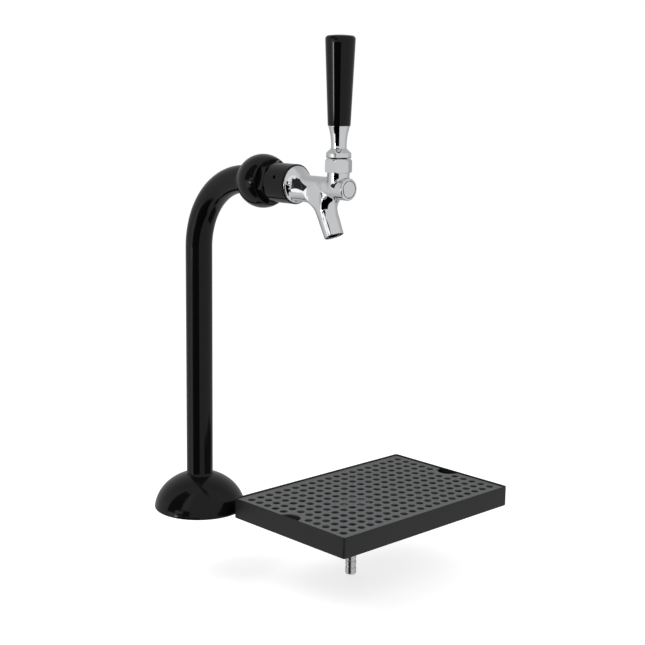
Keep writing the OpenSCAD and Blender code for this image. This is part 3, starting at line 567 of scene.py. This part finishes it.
def filletSolids(a, b, radius):  # union with a round fillet of that radius
    deep = np.hypot(np.maximum(radius - a, 0), np.maximum(radius - b, 0))
    return np.maximum(radius, np.minimum(a, b)) - deep


def cutSolid(a, b, width):  # takes b out of a, with a small rounded edge
    return -blendSolids(-a, b, width)


def cylinderField(radius, height, top, bottom, size):
    across, up = radius - size, np.maximum(height - top, bottom - height)
    return np.minimum(np.maximum(across, up), 0) + np.hypot(np.maximum(across, 0), np.maximum(up, 0))


def wayOutline():  # the passage from the tail to the nose, stepped at the valve's seat and the plug
    p, nose = passages, layout["noseReach"]
    steps = [(p["chamber"], p["chamberFrom"]), (p["seat"], p["seatReach"]), (p["rod"], p["seatEnd"]),
             (p["plugShank"], p["plugReach"]), (p["recess"], nose - p["recessDepth"]), (0, nose + 6)]
    outline = [(0, p["chamberFrom"])]
    for (radius, start), (_, end) in zip(steps, steps[1:]):
        outline += [(radius, start), (radius, end)]
    return outline + [steps[-1]]


barrelField = turnedField(barrelOutline())
hornField = turnedField(hornOutline())
spoutField = turnedField(spoutOutline())
wayField = turnedField(wayOutline())


def faucetField(x, reach, z):  # z is counted from the barrel's axis
    f, p = faucet, passages
    ahead = reach - layout["leverReach"]
    radius, neckRadius = np.hypot(x, z), np.hypot(x, ahead)
    tilt = radians(f["spoutTilt"])
    down, back = z + f["spoutDrop"], f["spoutReach"] - reach
    spoutHeight = down * cos(tilt) + back * sin(tilt)
    spoutRadius = np.hypot(x, back * cos(tilt) - down * sin(tilt))
    lean = radians(f["hornTilt"])
    forth, above = reach - f["hornReach"], z + f["hornDrop"]
    hornRadius = np.hypot(x, forth * sin(lean) + above * cos(lean))
    horn = hornField(hornRadius, forth * cos(lean) - above * sin(lean))
    edge = f["shoulder"] - f["shoulderRound"]
    sleeve = cylinderField(radius, reach, f["hornFrom"] + 60, f["hornFrom"], edge)
    horn = cutSolid(horn, -sleeve, 2)
    barrel, spout = barrelField(radius, reach), spoutField(spoutRadius, spoutHeight)
    under = np.clip(-z / f["filletDepth"], 0, 1)
    under = under ** 2 * (3 - 2 * under)
    front = filletSolids(barrel, spout, f["topFillet"] + (f["frontFillet"] - f["topFillet"]) * under)
    solid = blendSolids(barrel, horn, f["hornBlend"])
    solid = blendSolids(np.minimum(solid, front), filletSolids(horn, spout, f["rearFillet"]), 2)
    past = np.maximum(np.maximum(f["flankFrom"] - reach, reach - f["flankTo"]), 0)
    flank = (f["flank"] + f["flankTaper"] * past + 3 * np.maximum(f["flankEnd"] - reach, 0)
             - f["flankDraft"] * z * np.clip((f["draftEnd"] - reach) / f["draftFade"], 0, 1))
    solid = cutSolid(solid, flank - np.abs(x), f["flankBlend"])
    neck = cylinderField(neckRadius, z, f["neckTop"], 0, f["neck"])
    solid = blendSolids(solid, neck, f["neckBlend"])
    solid = np.minimum(solid, cylinderField(neckRadius, z, f["spigotTop"], 0, f["spigot"]))
    slotEnds = np.maximum(ahead - p["slotFront"], -ahead - p["slotBack"])
    slot = np.maximum(np.maximum(np.abs(x) - p["slotHalf"], slotEnds), np.maximum(z - p["slotTop"], -z))
    hollow = np.minimum(wayField(radius, reach), slot)
    for across, height, top, bottom, size in (
            (neckRadius, z, p["cupFloor"] + 1, p["wellFloor"], p["well"]),
            (neckRadius, z, f["spigotTop"] + 5, p["cupFloor"], p["cup"]),
            (spoutRadius, spoutHeight, p["spoutBoreDepth"], -5, p["spoutBore"]),
            (spoutRadius, spoutHeight, p["lipDepth"], -5, p["lip"]),
            (spoutRadius, spoutHeight, p["spoutPassageDepth"], 0, p["spoutPassage"])):
        hollow = np.minimum(hollow, cylinderField(across, height, top, bottom, size))
    return cutSolid(solid, hollow, p["edge"])


def netSurface(field, low, high, cell):  # a closed mesh of quads where the field is zero
    axes = [np.arange(a - cell, b + 2 * cell, cell) for a, b in zip(low, high)]
    values = np.empty([len(axis) for axis in axes], np.float32)
    for i, x in enumerate(axes[0]):
        grid = np.meshgrid([x], axes[1], axes[2], indexing="ij")
        values[i] = field(*grid)[0]
    inside = values < 0
    corners = [(i, j, k) for i in (0, 1) for j in (0, 1) for k in (0, 1)]
    size = [n - 1 for n in values.shape]
    count = sum(inside[i:i + size[0], j:j + size[1], k:k + size[2]].astype(np.int8) for i, j, k in corners)
    cells = np.argwhere((count > 0) & (count < 8))
    number = np.full(size, -1, np.int32)
    number[tuple(cells.T)] = np.arange(len(cells))
    total, hits = np.zeros((len(cells), 3)), np.zeros(len(cells))
    for a in corners:
        for axis in range(3):
            if a[axis]:
                continue
            b = tuple(v + (n == axis) for n, v in enumerate(a))
            va, vb = values[tuple((cells + a).T)], values[tuple((cells + b).T)]
            crossed = (va < 0) != (vb < 0)
            share = np.where(crossed, va / np.where(crossed, va - vb, 1), 0)
            spot = np.array(a, float)[None] + share[:, None] * (np.array(b) - a)
            total += np.where(crossed[:, None], spot, 0)
            hits += crossed
    verts = np.array([axis[0] for axis in axes]) + (cells + total / hits[:, None]) * cell
    faces = []
    for axis in range(3):
        u, v = (axis + 1) % 3, (axis + 2) % 3
        cut = [slice(1, -1)] * 3
        cut[axis] = slice(0, -1)
        ahead = [slice(1, -1)] * 3
        ahead[axis] = slice(1, None)
        here, there = inside[tuple(cut)], inside[tuple(ahead)]
        spots = np.argwhere(here != there) + [0 if n == axis else 1 for n in range(3)]
        leaving = inside[tuple(spots.T)]
        around = []
        for du, dv in ((0, 0), (-1, 0), (-1, -1), (0, -1)):
            step = spots.copy()
            step[:, u] += du
            step[:, v] += dv
            around.append(number[tuple(step.T)])
        quads = np.stack(around, 1)
        quads[~leaving] = quads[~leaving][:, ::-1]
        faces.append(quads)
    return verts, np.concatenate(faces)


def fieldSlope(field, points, step=0.12):
    slope = np.empty_like(points)
    for axis in range(3):
        shift = np.zeros(3)
        shift[axis] = step
        slope[:, axis] = (field(*(points + shift).T) - field(*(points - shift).T)) / (2 * step)
    return slope


low = (-faucet["shoulder"], faucet["tailReach"], -faucet["spoutDrop"] - 5)
high = (faucet["shoulder"], layout["noseReach"], faucet["spigotTop"])
verts, faces = netSurface(faucetField, low, high, faucet["cellSize"])
for _ in range(3):
    slope = fieldSlope(faucetField, verts)
    value = faucetField(*verts.T)
    move = value[:, None] * slope / np.maximum((slope ** 2).sum(1), 0.3)[:, None]
    verts -= np.clip(move, -0.3, 0.3)
slope = fieldSlope(faucetField, verts)
slope /= np.maximum(np.linalg.norm(slope, axis=1), 1e-6)[:, None]
place = np.c_[verts[:, 0], -verts[:, 1], layout["axisHeight"] + verts[:, 2]] * mm
mesh = bpy.data.meshes.new("faucet_casting")
mesh.from_pydata(place.tolist(), [], faces[:, ::-1].tolist())
mesh.shade_smooth()
mesh.normals_split_custom_set_from_vertices(np.c_[slope[:, 0], -slope[:, 1], slope[:, 2]].tolist())
mesh.materials.append(materials["chromePlate"])
standFor(addObject("faucet_casting", mesh), "tower", "chrome_plate", "faucet_body")
print("faucet body made:", len(faces), "quads")

# Plug in the nose, and the bonnet nut on the neck
plug = dict(radius=8.15, reach=235.0, proud=0.2, edge=0.6, shank=7.4, shankReach=229.0, middle=4.0)
face = layout["noseReach"] + plug["proud"] - plug["shankReach"]
step = plug["reach"] - plug["shankReach"]
outline = [(0, 0)] + rounded([(plug["shank"], 0, 0.3), (plug["shank"], step, 0), (plug["radius"], step, 0),
                              (plug["radius"], face, plug["edge"]), (plug["middle"], face, 0), (0, face, 0)])
piece = makePiece("nose_plug", onAxis(lathe(outline, 96), plug["shankReach"]), "chromePlate")
standFor(piece, "tower", "chrome_plate", "front_plug")

bonnet = dict(acrossFlats=24.0, height=13.8, turn=30.0, lowCut=1.7, lowCutHeight=1.0, rim=11.75,
              rimHeight=2.6, thread=10.15, capHeight=8.2, holeLow=6.3, holeTop=8.4, edge=0.3, crease=20)
bore = [(bonnet["holeTop"], bonnet["height"]), (bonnet["holeLow"], bonnet["capHeight"]),
        (bonnet["thread"], bonnet["capHeight"]), (bonnet["thread"], 0)]
form = hexForm(bonnet, (hexCorner(bonnet) - bonnet["lowCut"], bonnet["lowCutHeight"]),
               (bonnet["rim"], bonnet["rimHeight"]), bore)
piece = makePiece("bonnet_hex", onLever(form, faucet["neckTop"]), "chromePlate", bonnet["crease"])
standFor(softenEdges(piece, bonnet["edge"], bonnet["crease"]), "tower", "chrome_plate", "bonnet_nut")

# Lever collar, ferrule and grip, turned about the lever's own axis
cap = dict(low=30.5, top=39.3, radius=12.5, draft=0.15, lip=1.1, lipHeight=0.55, coneHeight=4.1,
           coneTop=7.9, bore=4.8, ballHeight=20.0, hollow=16.29)
low, top, radius, hollow = cap["low"], cap["top"], cap["radius"], cap["hollow"]
lipTop = low + cap["lipHeight"]
outline = rounded([(radius - cap["lip"], low, 0), (radius - cap["lip"], lipTop, 0), (radius, lipTop, 0),
                   (radius - cap["draft"], top - cap["coneHeight"], 0.6), (cap["coneTop"], top, 0.4),
                   (cap["bore"], top, 0)])
first, last = acos(cap["bore"] / hollow), asin((low - cap["ballHeight"]) / hollow)
outline += arc((0, cap["ballHeight"]), (hollow, hollow), degrees(first), degrees(last), 23)
piece = makePiece("lever_cap", onLever(lathe(outline)), "chromePlate")
# Painted shade: the cap's underside and hollow take a dark material for the shadow in the gap above the
# bonnet
piece.data.materials.append(materials["paintedShadeUnderCap"])
middle = Vector((0, -layout["leverReach"], layout["axisHeight"] + cap["ballHeight"])) * mm
for face in piece.data.polygons:  # the underside and the hollow
    out = face.center - middle
    if face.normal.z < -0.9 or face.normal.x * out.x + face.normal.y * out.y < -1e-6:
        face.material_index = 1
standFor(piece, "lever", "chrome_plate", "lever_collar")

ferrule = dict(low=39.3, length=22.3, lowRadius=7.8, topRadius=10.7, waist=0.5, flare=1.6,
               pin=6.0, pinLength=10.0, bore=4.8, boreTop=54.1, sideSteps=48)


def ferruleOutline():
    low, lowRadius, topRadius = ferrule["low"], ferrule["lowRadius"], ferrule["topRadius"]
    bore, boreTop, pin, top = ferrule["bore"], ferrule["boreTop"], ferrule["pin"], low + ferrule["length"]
    outline = [(0, boreTop), (bore, boreTop), (bore, low)]
    outline += [(lowRadius - 0.3, low), (lowRadius - 0.08, low + 0.1)]
    for share in np.arange(1, ferrule["sideSteps"]) / ferrule["sideSteps"]:
        radius = lowRadius + (topRadius - lowRadius) * share ** ferrule["flare"]
        outline.append((radius - ferrule["waist"] * sin(pi * share), low + ferrule["length"] * share))
    outline += [(topRadius - 0.1, top - 0.1), (topRadius - 0.35, top), (pin, top)]
    return outline + [(pin, top + ferrule["pinLength"]), (0, top + ferrule["pinLength"])]


piece = makePiece("handle_cone", onLever(lathe(ferruleOutline())), "chromePlate")
standFor(piece, "lever", "chrome_plate", "handle_ferrule")

grip = dict(low=61.6, length=87.8, lowRadius=11.3, topRadius=14.9, round=3.5, crown=0.8,
            socket=6.1, socketDepth=10.1, edge=0.5, crease=40)


def gripOutline():
    low, edge, turn, crown = grip["low"], grip["edge"], grip["round"], grip["crown"]
    lowRadius, flat, floor = grip["lowRadius"], grip["topRadius"] - turn, low + grip["socketDepth"]
    crownFrom = low + grip["length"] - crown
    side = [(lowRadius, low + edge), (grip["topRadius"], crownFrom - turn)]
    outline = [(grip["socket"], floor), (grip["socket"], low), (lowRadius - edge, low),
               (lowRadius - 0.3 * edge, low + 0.3 * edge), *np.linspace(*side, 21)]
    outline += arc((flat, crownFrom - turn), (turn, turn), 6, 84, 13)
    outline += [(flat * share, crownFrom + crown * (1 - share ** 2)) for share in np.linspace(1, 0, 13)]
    return outline + [(0, floor)]


piece = makePiece("handle_grip_black", onLever(lathe(gripOutline())), "mouldedPhenolic", grip["crease"])
standFor(piece, "lever", "handle_plastic", "handle_grip")
print("nose plug, bonnet, lever cap and handle made")

# Tray pan: folded sheet with welded corners, its walls and floor lofted from rounded rectangles
tray = dict(length=268.0, width=178.0, height=23.6, wall=1.5, corner=3.0, foldRadius=1.2,
            innerFold=0.8, hole=10.1, holeFlat=24.1, cornerSteps=8, sideSteps=10)


def rectangleRing(inset, height):
    halfX, halfY = tray["length"] / 2 - inset, tray["width"] / 2 - inset
    radius = max(tray["corner"] - inset, 0.35)
    cx, cy = layout["trayCentre"]
    arcs = []
    for k, (sx, sy) in enumerate(((1, 1), (-1, 1), (-1, -1), (1, -1))):
        middle = (cx + sx * (halfX - radius), cy + sy * (halfY - radius))
        arcs.append(arc(middle, (radius, radius), 90 * k, 90 * k + 90, tray["cornerSteps"]))
    ring = []
    for turn, following in zip(arcs, arcs[1:] + arcs[:1]):
        ring += [*turn, *np.linspace(turn[-1], following[0], tray["sideSteps"] + 1)[1:-1]]
    return [(x, y, height) for x, y in ring]


def holeRing(radius, height):  # keeps the rectangle's point order, so that the floor joins it without a twist
    cx, cy = layout["drainCentre"]
    angles = [atan2(y - cy, x - cx) for x, y, _ in rectangleRing(20, 0)]
    return [(cx + radius * cos(a), cy + radius * sin(a), height) for a in angles]


def panSection():  # from the floor's underside, over the rim and back to the floor, as (inset, height)
    wall, height, fold, inner = tray["wall"], tray["height"], tray["foldRadius"], tray["innerFold"]
    rim, bend = wall / 2, wall + inner
    section = [(fold + 1, 0), *arc((fold, fold), (-fold, -fold), 90, 0, 6), (0, height - rim - 0.6)]
    section += arc((rim, height - rim), (-rim, rim), 0, 180, 10)
    section += [(wall, height - rim - 0.6), (wall, wall + 1.2)]
    return section + arc((bend, bend), (-inner, -inner), 0, 90, 5) + [(bend + 1, wall)]


rings = [holeRing(tray["hole"], 0), holeRing(tray["holeFlat"], 0)]
rings += [rectangleRing(*spot) for spot in panSection()]
rings += [holeRing(tray["holeFlat"], tray["wall"]), holeRing(tray["hole"], tray["wall"])]
# The pan's coat is darkened as painted shade under the grille
standFor(makePiece("tray_body", stackRings(rings), "panCoatAndPaintedShade"), "tray", "tray_coat", "tray_pan")

# Grille: a punched sheet; the tree fills its outline round a grid of holes and gives the sheet its thickness
grille = dict(length=263.8, width=173.8, thickness=1.5, top=22.1, corner=1.5, holeRadius=4.5,
              pitch=13.4, countX=19, countY=12, notch=13.5, edge=0.35, crease=40, holeSides=24,
              foldFoot=1.85, foldInset=14.0, notchGap=3.0)


def grilleOutline():
    halfX, halfY = grille["length"] / 2, grille["width"] / 2
    notch, radius = grille["notch"], grille["corner"]
    points = []
    for side in (1, -1):  # the finger notch in this end, then a corner at each side
        points += arc((side * halfX, 0), (-side * notch, notch), -90 * side, 90 * side, 24)
        for end, first in ((side, 90 - 90 * side), (-side, 180 - 90 * side)):
            middle = (end * (halfX - radius), side * (halfY - radius))
            points += arc(middle, (radius, radius), first, first + 90, 6)
    return [(x, y, 0) for x, y in points]


sheetLow = grille["top"] - grille["thickness"]
sizes = {
    "Hole Radius": grille["holeRadius"] * mm, "Hole Sides": grille["holeSides"],
    "Pitch": grille["pitch"] * mm, "Count X": grille["countX"], "Count Y": grille["countY"],
    "Thickness": grille["thickness"] * mm,
    "Centre": tuple(v * mm for v in (*layout["trayCentre"], sheetLow))}
tree, inputs = newTree("punchedSheet", sizes)
spans = []
for count in ("Count X", "Count Y"):
    gaps = addNode(tree, "ShaderNodeMath", {"operation": "SUBTRACT", 0: inputs[count], 1: 1.0})
    spans.append(addNode(tree, "ShaderNodeMath", {"operation": "MULTIPLY", 0: gaps, 1: inputs["Pitch"]}))
grid = addNode(tree, "GeometryNodeMeshGrid", {
    "Size X": spans[0], "Size Y": spans[1], "Vertices X": inputs["Count X"], "Vertices Y": inputs["Count Y"]})
spot = addNode(tree, "ShaderNodeSeparateXYZ", {"Vector": addNode(tree, "GeometryNodeInputPosition")})
away = [addNode(tree, "ShaderNodeMath", {"operation": "ABSOLUTE", 0: spot.outputs[n]}) for n in "XY"]
# Holes of the outermost columns that stand within one pitch of the middle would run into a finger notch
endLine = addNode(tree, "ShaderNodeMath", {"operation": "MULTIPLY", 0: spans[0], 1: 0.49})
atEnd = addNode(tree, "FunctionNodeCompare", {"operation": "GREATER_THAN", "A": away[0], "B": endLine})
atMiddle = addNode(tree, "FunctionNodeCompare", {
    "operation": "LESS_THAN", "A": away[1], "B": inputs["Pitch"]})
byNotch = addNode(tree, "FunctionNodeBooleanMath", {"operation": "AND", 0: atEnd, 1: atMiddle})
spared = addNode(tree, "GeometryNodeDeleteGeometry", {
    "domain": "POINT", "Geometry": grid, "Selection": byNotch})
punch = addNode(tree, "GeometryNodeCurvePrimitiveCircle", {
    "Resolution": inputs["Hole Sides"], "Radius": inputs["Hole Radius"]})
holes = addNode(tree, "GeometryNodeInstanceOnPoints", {"Points": spared, "Instance": punch})
cuts = addNode(tree, "GeometryNodeRealizeInstances", {"Geometry": holes})
outlines = addNode(tree, "GeometryNodeJoinGeometry", {"Geometry": [inputs["Geometry"], cuts]})
sheet = addNode(tree, "GeometryNodeFillCurve", {"mode": "TRIANGLES", "Curve": outlines})
raised = addNode(tree, "GeometryNodeExtrudeMesh", {
    "mode": "FACES", "Individual": False, "Mesh": sheet, "Offset Scale": inputs["Thickness"]})
under = addNode(tree, "GeometryNodeFlipFaces", {"Mesh": sheet})
both = addNode(tree, "GeometryNodeJoinGeometry", {"Geometry": [raised, under]})
closed = addNode(tree, "GeometryNodeMergeByDistance", {"Distance": 1e-6, "Geometry": both})
placed = addNode(tree, "GeometryNodeTransform", {"Geometry": closed, "Translation": inputs["Centre"]})
# The grille's coat is painted lighter grey as painted light on its top
finishTree(tree, placed, "grilleCoatAndPaintedLight")

piece = pathCurve("grille_sheet", grilleOutline(), cyclic=True)
applyTree(piece, tree, sizes)
piece = bakePiece(piece, creaseAngle)
print("grille sheet:", len(piece.data.polygons), "faces, height", min(v.co.z for v in piece.data.vertices))
standFor(softenEdges(piece, grille["edge"], grille["crease"], 1), "grille", "tray_coat", "grille")


# The grille's folded edges, which stand in the pan
def foldStrip(length, depth, thickness):  # a strip along X with rounded edges
    section = rounded([(0, 0, 0.4), (thickness, 0, 0.4), (thickness, depth, 0), (0, depth, 0)])
    count = len(section)
    ends = [tuple(range(count)), tuple(range(count, 2 * count))]
    faces = [(k, (k + 1) % count, count + (k + 1) % count, count + k) for k in range(count)]
    return np.array([(x, y, z) for x in (-length / 2, length / 2) for y, z in section]), faces + ends


sideLength = grille["length"] - 2 * grille["foldInset"]
endLength = grille["width"] / 2 - grille["foldInset"] - grille["notch"] - grille["notchGap"]
sides = [(turn, sideLength, grille["width"] / 2, 0) for turn in (0, 180)]
sides += [(turn, endLength, grille["length"] / 2, slide) for turn in (90, 270) for slide in (1, -1)]
points, faces, start = [], [], 0
for turn, length, reach, slide in sides:
    verts, strip = foldStrip(length, sheetLow - grille["foldFoot"], grille["thickness"])
    slid = slide * (grille["notch"] + grille["notchGap"] + length / 2)
    x, y, z = (verts + (slid, -reach, grille["foldFoot"])).T
    a, (cx, cy) = radians(turn), layout["trayCentre"]
    points.append(np.c_[x * cos(a) - y * sin(a) + cx, x * sin(a) + y * cos(a) + cy, z])
    faces += [tuple(v + start for v in face) for face in strip]
    start += len(verts)
# The folds take the grille's coat, painted lighter grey as painted light
piece = makePiece("grille_folds", (np.concatenate(points), faces), "grilleCoatAndPaintedLight")
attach(piece, "grille")
print("tray and grille made")

# Drain: a flange in the pan, a threaded body with its nut, and a grooved hose pipe
drain = dict(flange=22.5, flangeLow=3.0, flangeTop=4.5, body=10.0, bodyLow=-9.0, pipe=6.4,
             pipeWall=1.2, pipeLow=-85.0, grooves=((-77, -74), (-69, -66)), grooveDepth=0.6,
             threadFrom=1.2, threadPitch=1.8, threadDepth=0.5)


def drainOutline():
    body, pipe, pitch = drain["body"], drain["pipe"], drain["threadPitch"]
    bore, groove = pipe - drain["pipeWall"], pipe - drain["grooveDepth"]
    outline = [(bore, drain["flangeTop"], 0.3), (drain["flange"], drain["flangeTop"], 0.5),
               (drain["flange"], drain["flangeLow"], 0.3), (body, drain["flangeLow"], 0)]
    z = drain["threadFrom"]
    while z - pitch > drain["bodyLow"] + 0.4:
        outline += [(body, z, 0), (body - drain["threadDepth"], z - pitch / 2, 0)]
        z -= pitch
    outline += [(body, z, 0), (body, drain["bodyLow"], 0.4), (pipe, drain["bodyLow"], 0.3)]
    for low, high in reversed(drain["grooves"]):
        outline += [(pipe, high, 0.15), (groove, high, 0.15), (groove, low, 0.15), (pipe, low, 0.15)]
    low = drain["pipeLow"]
    return rounded(outline + [(pipe, low + 1, 0.3), (pipe - 0.5, low, 0.2), (bore, low, 0.2)], 20)


piece = makePiece("drain_outlet", onDrain(lathe(drainOutline(), 96)), "turnedStainless")
standFor(piece, "tray", "stainless_steel", "drain_fitting")

drainNut = dict(acrossFlats=28.0, height=7.0, low=-7.0, chamfer=1.6, bore=10.1, turn=0.0, edge=0.3)
piece = makePiece("drain_hex", onDrain(plainNut(drainNut), drainNut["low"]), "turnedStainless")
standFor(softenEdges(piece, drainNut["edge"]), "tray", "stainless_steel", "drain_nut")
print("drain made")

# Camera at the photograph's viewing angle, from a fit to the tower's outline
view = dict(focal=1326.13, azimuth=-43.836, pitch=10.704, roll=0.765, distance=1504.0,
            aside=139.77, height=217.35, imageSize=645, sensor=36.0)
a, p, r = (radians(view[k]) for k in ("azimuth", "pitch", "roll"))
back = Vector((sin(a) * cos(p), -cos(a) * cos(p), sin(p)))
right = Vector((cos(a), sin(a), 0))
up = back.cross(right)
right, up = right * cos(r) + up * sin(r), up * cos(r) - right * sin(r)
target = right * view["aside"] + Vector((0, 0, view["height"]))
camera = addObject("camera", bpy.data.cameras.new("camera"))
camera.data.sensor_width = view["sensor"]
camera.data.lens = view["sensor"] * view["focal"] / view["imageSize"]
camera.data.clip_end = 20
camera.matrix_world = Matrix((right, up, back)).transposed().to_4x4()
camera.location = (target + back * view["distance"]) * mm
scene.camera = camera

# Studio: a pale room that is dimmer behind the object, with bright cards, black cards and one small lamp.
# Each panel is (azimuth of the middle, half width, elevation of the middle, half height, softness, strength)
studio = dict(
    room=0.85, background=1.0,
    panels=[
        (45, 78, 10, 70, 18, 0.6),  # the room behind the object, and its lower part
        (45, 34, -14, 20, 14, 0.42),
        (158, 11, -9.5, 12.5, 2, 1.45),  # bright cards
        (175, 10, 3, 10, 1.2, 1.6),
        (190, 11, 46, 26, 2, 1.1),
        (147, 6, 33.5, 31.5, 0.8, 0.03),  # black cards
        (159.3, 6.6, 34, 31, 0.8, 0.03),
        (172.5, 8, 40, 26, 1.2, 0.03),
        (196, 9, 9, 8, 0.8, 0.02),
        (186, 14, 3.3, 2.9, 0.5, 0.02),
        (164, 8, -43, 21, 1.0, 0.02),
        (201, 30, -33, 30.8, 0.6, 0.0),
        (169.5, 4.2, -4.1, 2.1, 0.4, 14.0),  # the lamp whose line runs up the handle
    ],
)
scene.world = bpy.data.worlds.new("studio")
tree = emptyTree(scene.world)
ray = addNode(tree, "ShaderNodeTexCoord").outputs["Generated"]
way = addNode(tree, "ShaderNodeSeparateXYZ", {"Vector": ray})
compass = addNode(tree, "ShaderNodeMath", {"operation": "ARCTAN2", 0: way.outputs["Y"], 1: way.outputs["X"]})
rise = addNode(tree, "ShaderNodeMath", {"operation": "ARCSINE", 0: way.outputs["Z"]})
light = addNode(tree, "ShaderNodeValue")
light.outputs[0].default_value = studio["room"]
for azimuth, halfWidth, elevation, halfHeight, softness, strength in studio["panels"]:
    masks = []
    for angle, middle, half in ((compass, azimuth, halfWidth), (rise, elevation, halfHeight)):
        off = addNode(tree, "ShaderNodeMath", {"operation": "SUBTRACT", 0: angle, 1: radians(middle)})
        wrapped = addNode(tree, "ShaderNodeMath", {"operation": "WRAP", 0: off, 1: pi, 2: -pi})
        size = addNode(tree, "ShaderNodeMath", {"operation": "ABSOLUTE", 0: wrapped})
        masks.append(addNode(tree, "ShaderNodeMapRange", {
            "interpolation_type": "SMOOTHSTEP", "From Min": radians(half + softness),
            "From Max": radians(max(half - softness, 0)), "Value": size}))
    mask = addNode(tree, "ShaderNodeMath", {"operation": "MULTIPLY", 0: masks[0], 1: masks[1]})
    light = addNode(tree, "ShaderNodeMix", {"data_type": "FLOAT", 0: mask, 2: light, 3: strength})
seenDirectly = addNode(tree, "ShaderNodeLightPath").outputs["Is Camera Ray"]
shown = addNode(tree, "ShaderNodeMix", {
    "data_type": "FLOAT", 0: seenDirectly, 2: light, 3: studio["background"]})
sky = addNode(tree, "ShaderNodeBackground", {"Color": (1, 1, 1, 1), "Strength": shown})
addNode(tree, "ShaderNodeOutputWorld", {"Surface": sky})

# Floor just under the drain pipe's end; mirrors look through it to the room, and the camera sees it lit up
floor = dict(height=-87.0, size=6000.0, paper="#bdbdbd", lift=0.7)
materials["paleFloorPaper"] = bpy.data.materials.new("paleFloorPaper")
tree = emptyTree(materials["paleFloorPaper"])
ray = addNode(tree, "ShaderNodeLightPath").outputs
matt = addNode(tree, "ShaderNodeBsdfDiffuse", {"Color": linear(floor["paper"])})
lift = addNode(tree, "ShaderNodeMath", {"operation": "MULTIPLY", 0: ray["Is Camera Ray"], 1: floor["lift"]})
glow = addNode(tree, "ShaderNodeEmission", {"Color": (1, 1, 1, 1), "Strength": lift})
seen = addNode(tree, "ShaderNodeAddShader", {0: matt, 1: glow})
mirrored = addNode(tree, "ShaderNodeMath", {
    "operation": "MAXIMUM", 0: ray["Is Glossy Ray"], 1: ray["Is Transmission Ray"]})
clear = addNode(tree, "ShaderNodeBsdfTransparent")
mixed = addNode(tree, "ShaderNodeMixShader", {0: mirrored, 1: seen, 2: clear})
addNode(tree, "ShaderNodeOutputMaterial", {"Surface": mixed})
half = floor["size"] / 2
corners = [(sx * half, sy * half, floor["height"]) for sx, sy in ((-1, -1), (1, -1), (1, 1), (-1, 1))]
ground = makePiece("floor", (corners, [(0, 1, 2, 3)]), "paleFloorPaper")


def addSoftLamp(name, azimuth, elevation, distance, size, watts):  # aims at the middle of the object
    lamp = bpy.data.lights.new(name, "AREA")
    lamp.shape = "DISK"
    lamp.size = size
    lamp.energy = watts
    middle = Vector((0.08, -0.12, 0.22))
    a, e = radians(azimuth), radians(elevation)
    out = Vector((cos(a) * cos(e), sin(a) * cos(e), sin(e)))
    holder = addObject(name, lamp)
    holder.rotation_euler = out.to_track_quat("Z", "Y").to_euler()
    holder.location = middle + out * distance
    lamp.cycles.is_caustics_light = False
    holder.visible_glossy = False


addSoftLamp("keyLamp", 165, 48, 1.6, 1.0, 16)
addSoftLamp("fillLamp", 275, 40, 1.8, 1.2, 9)
print("camera and studio made")
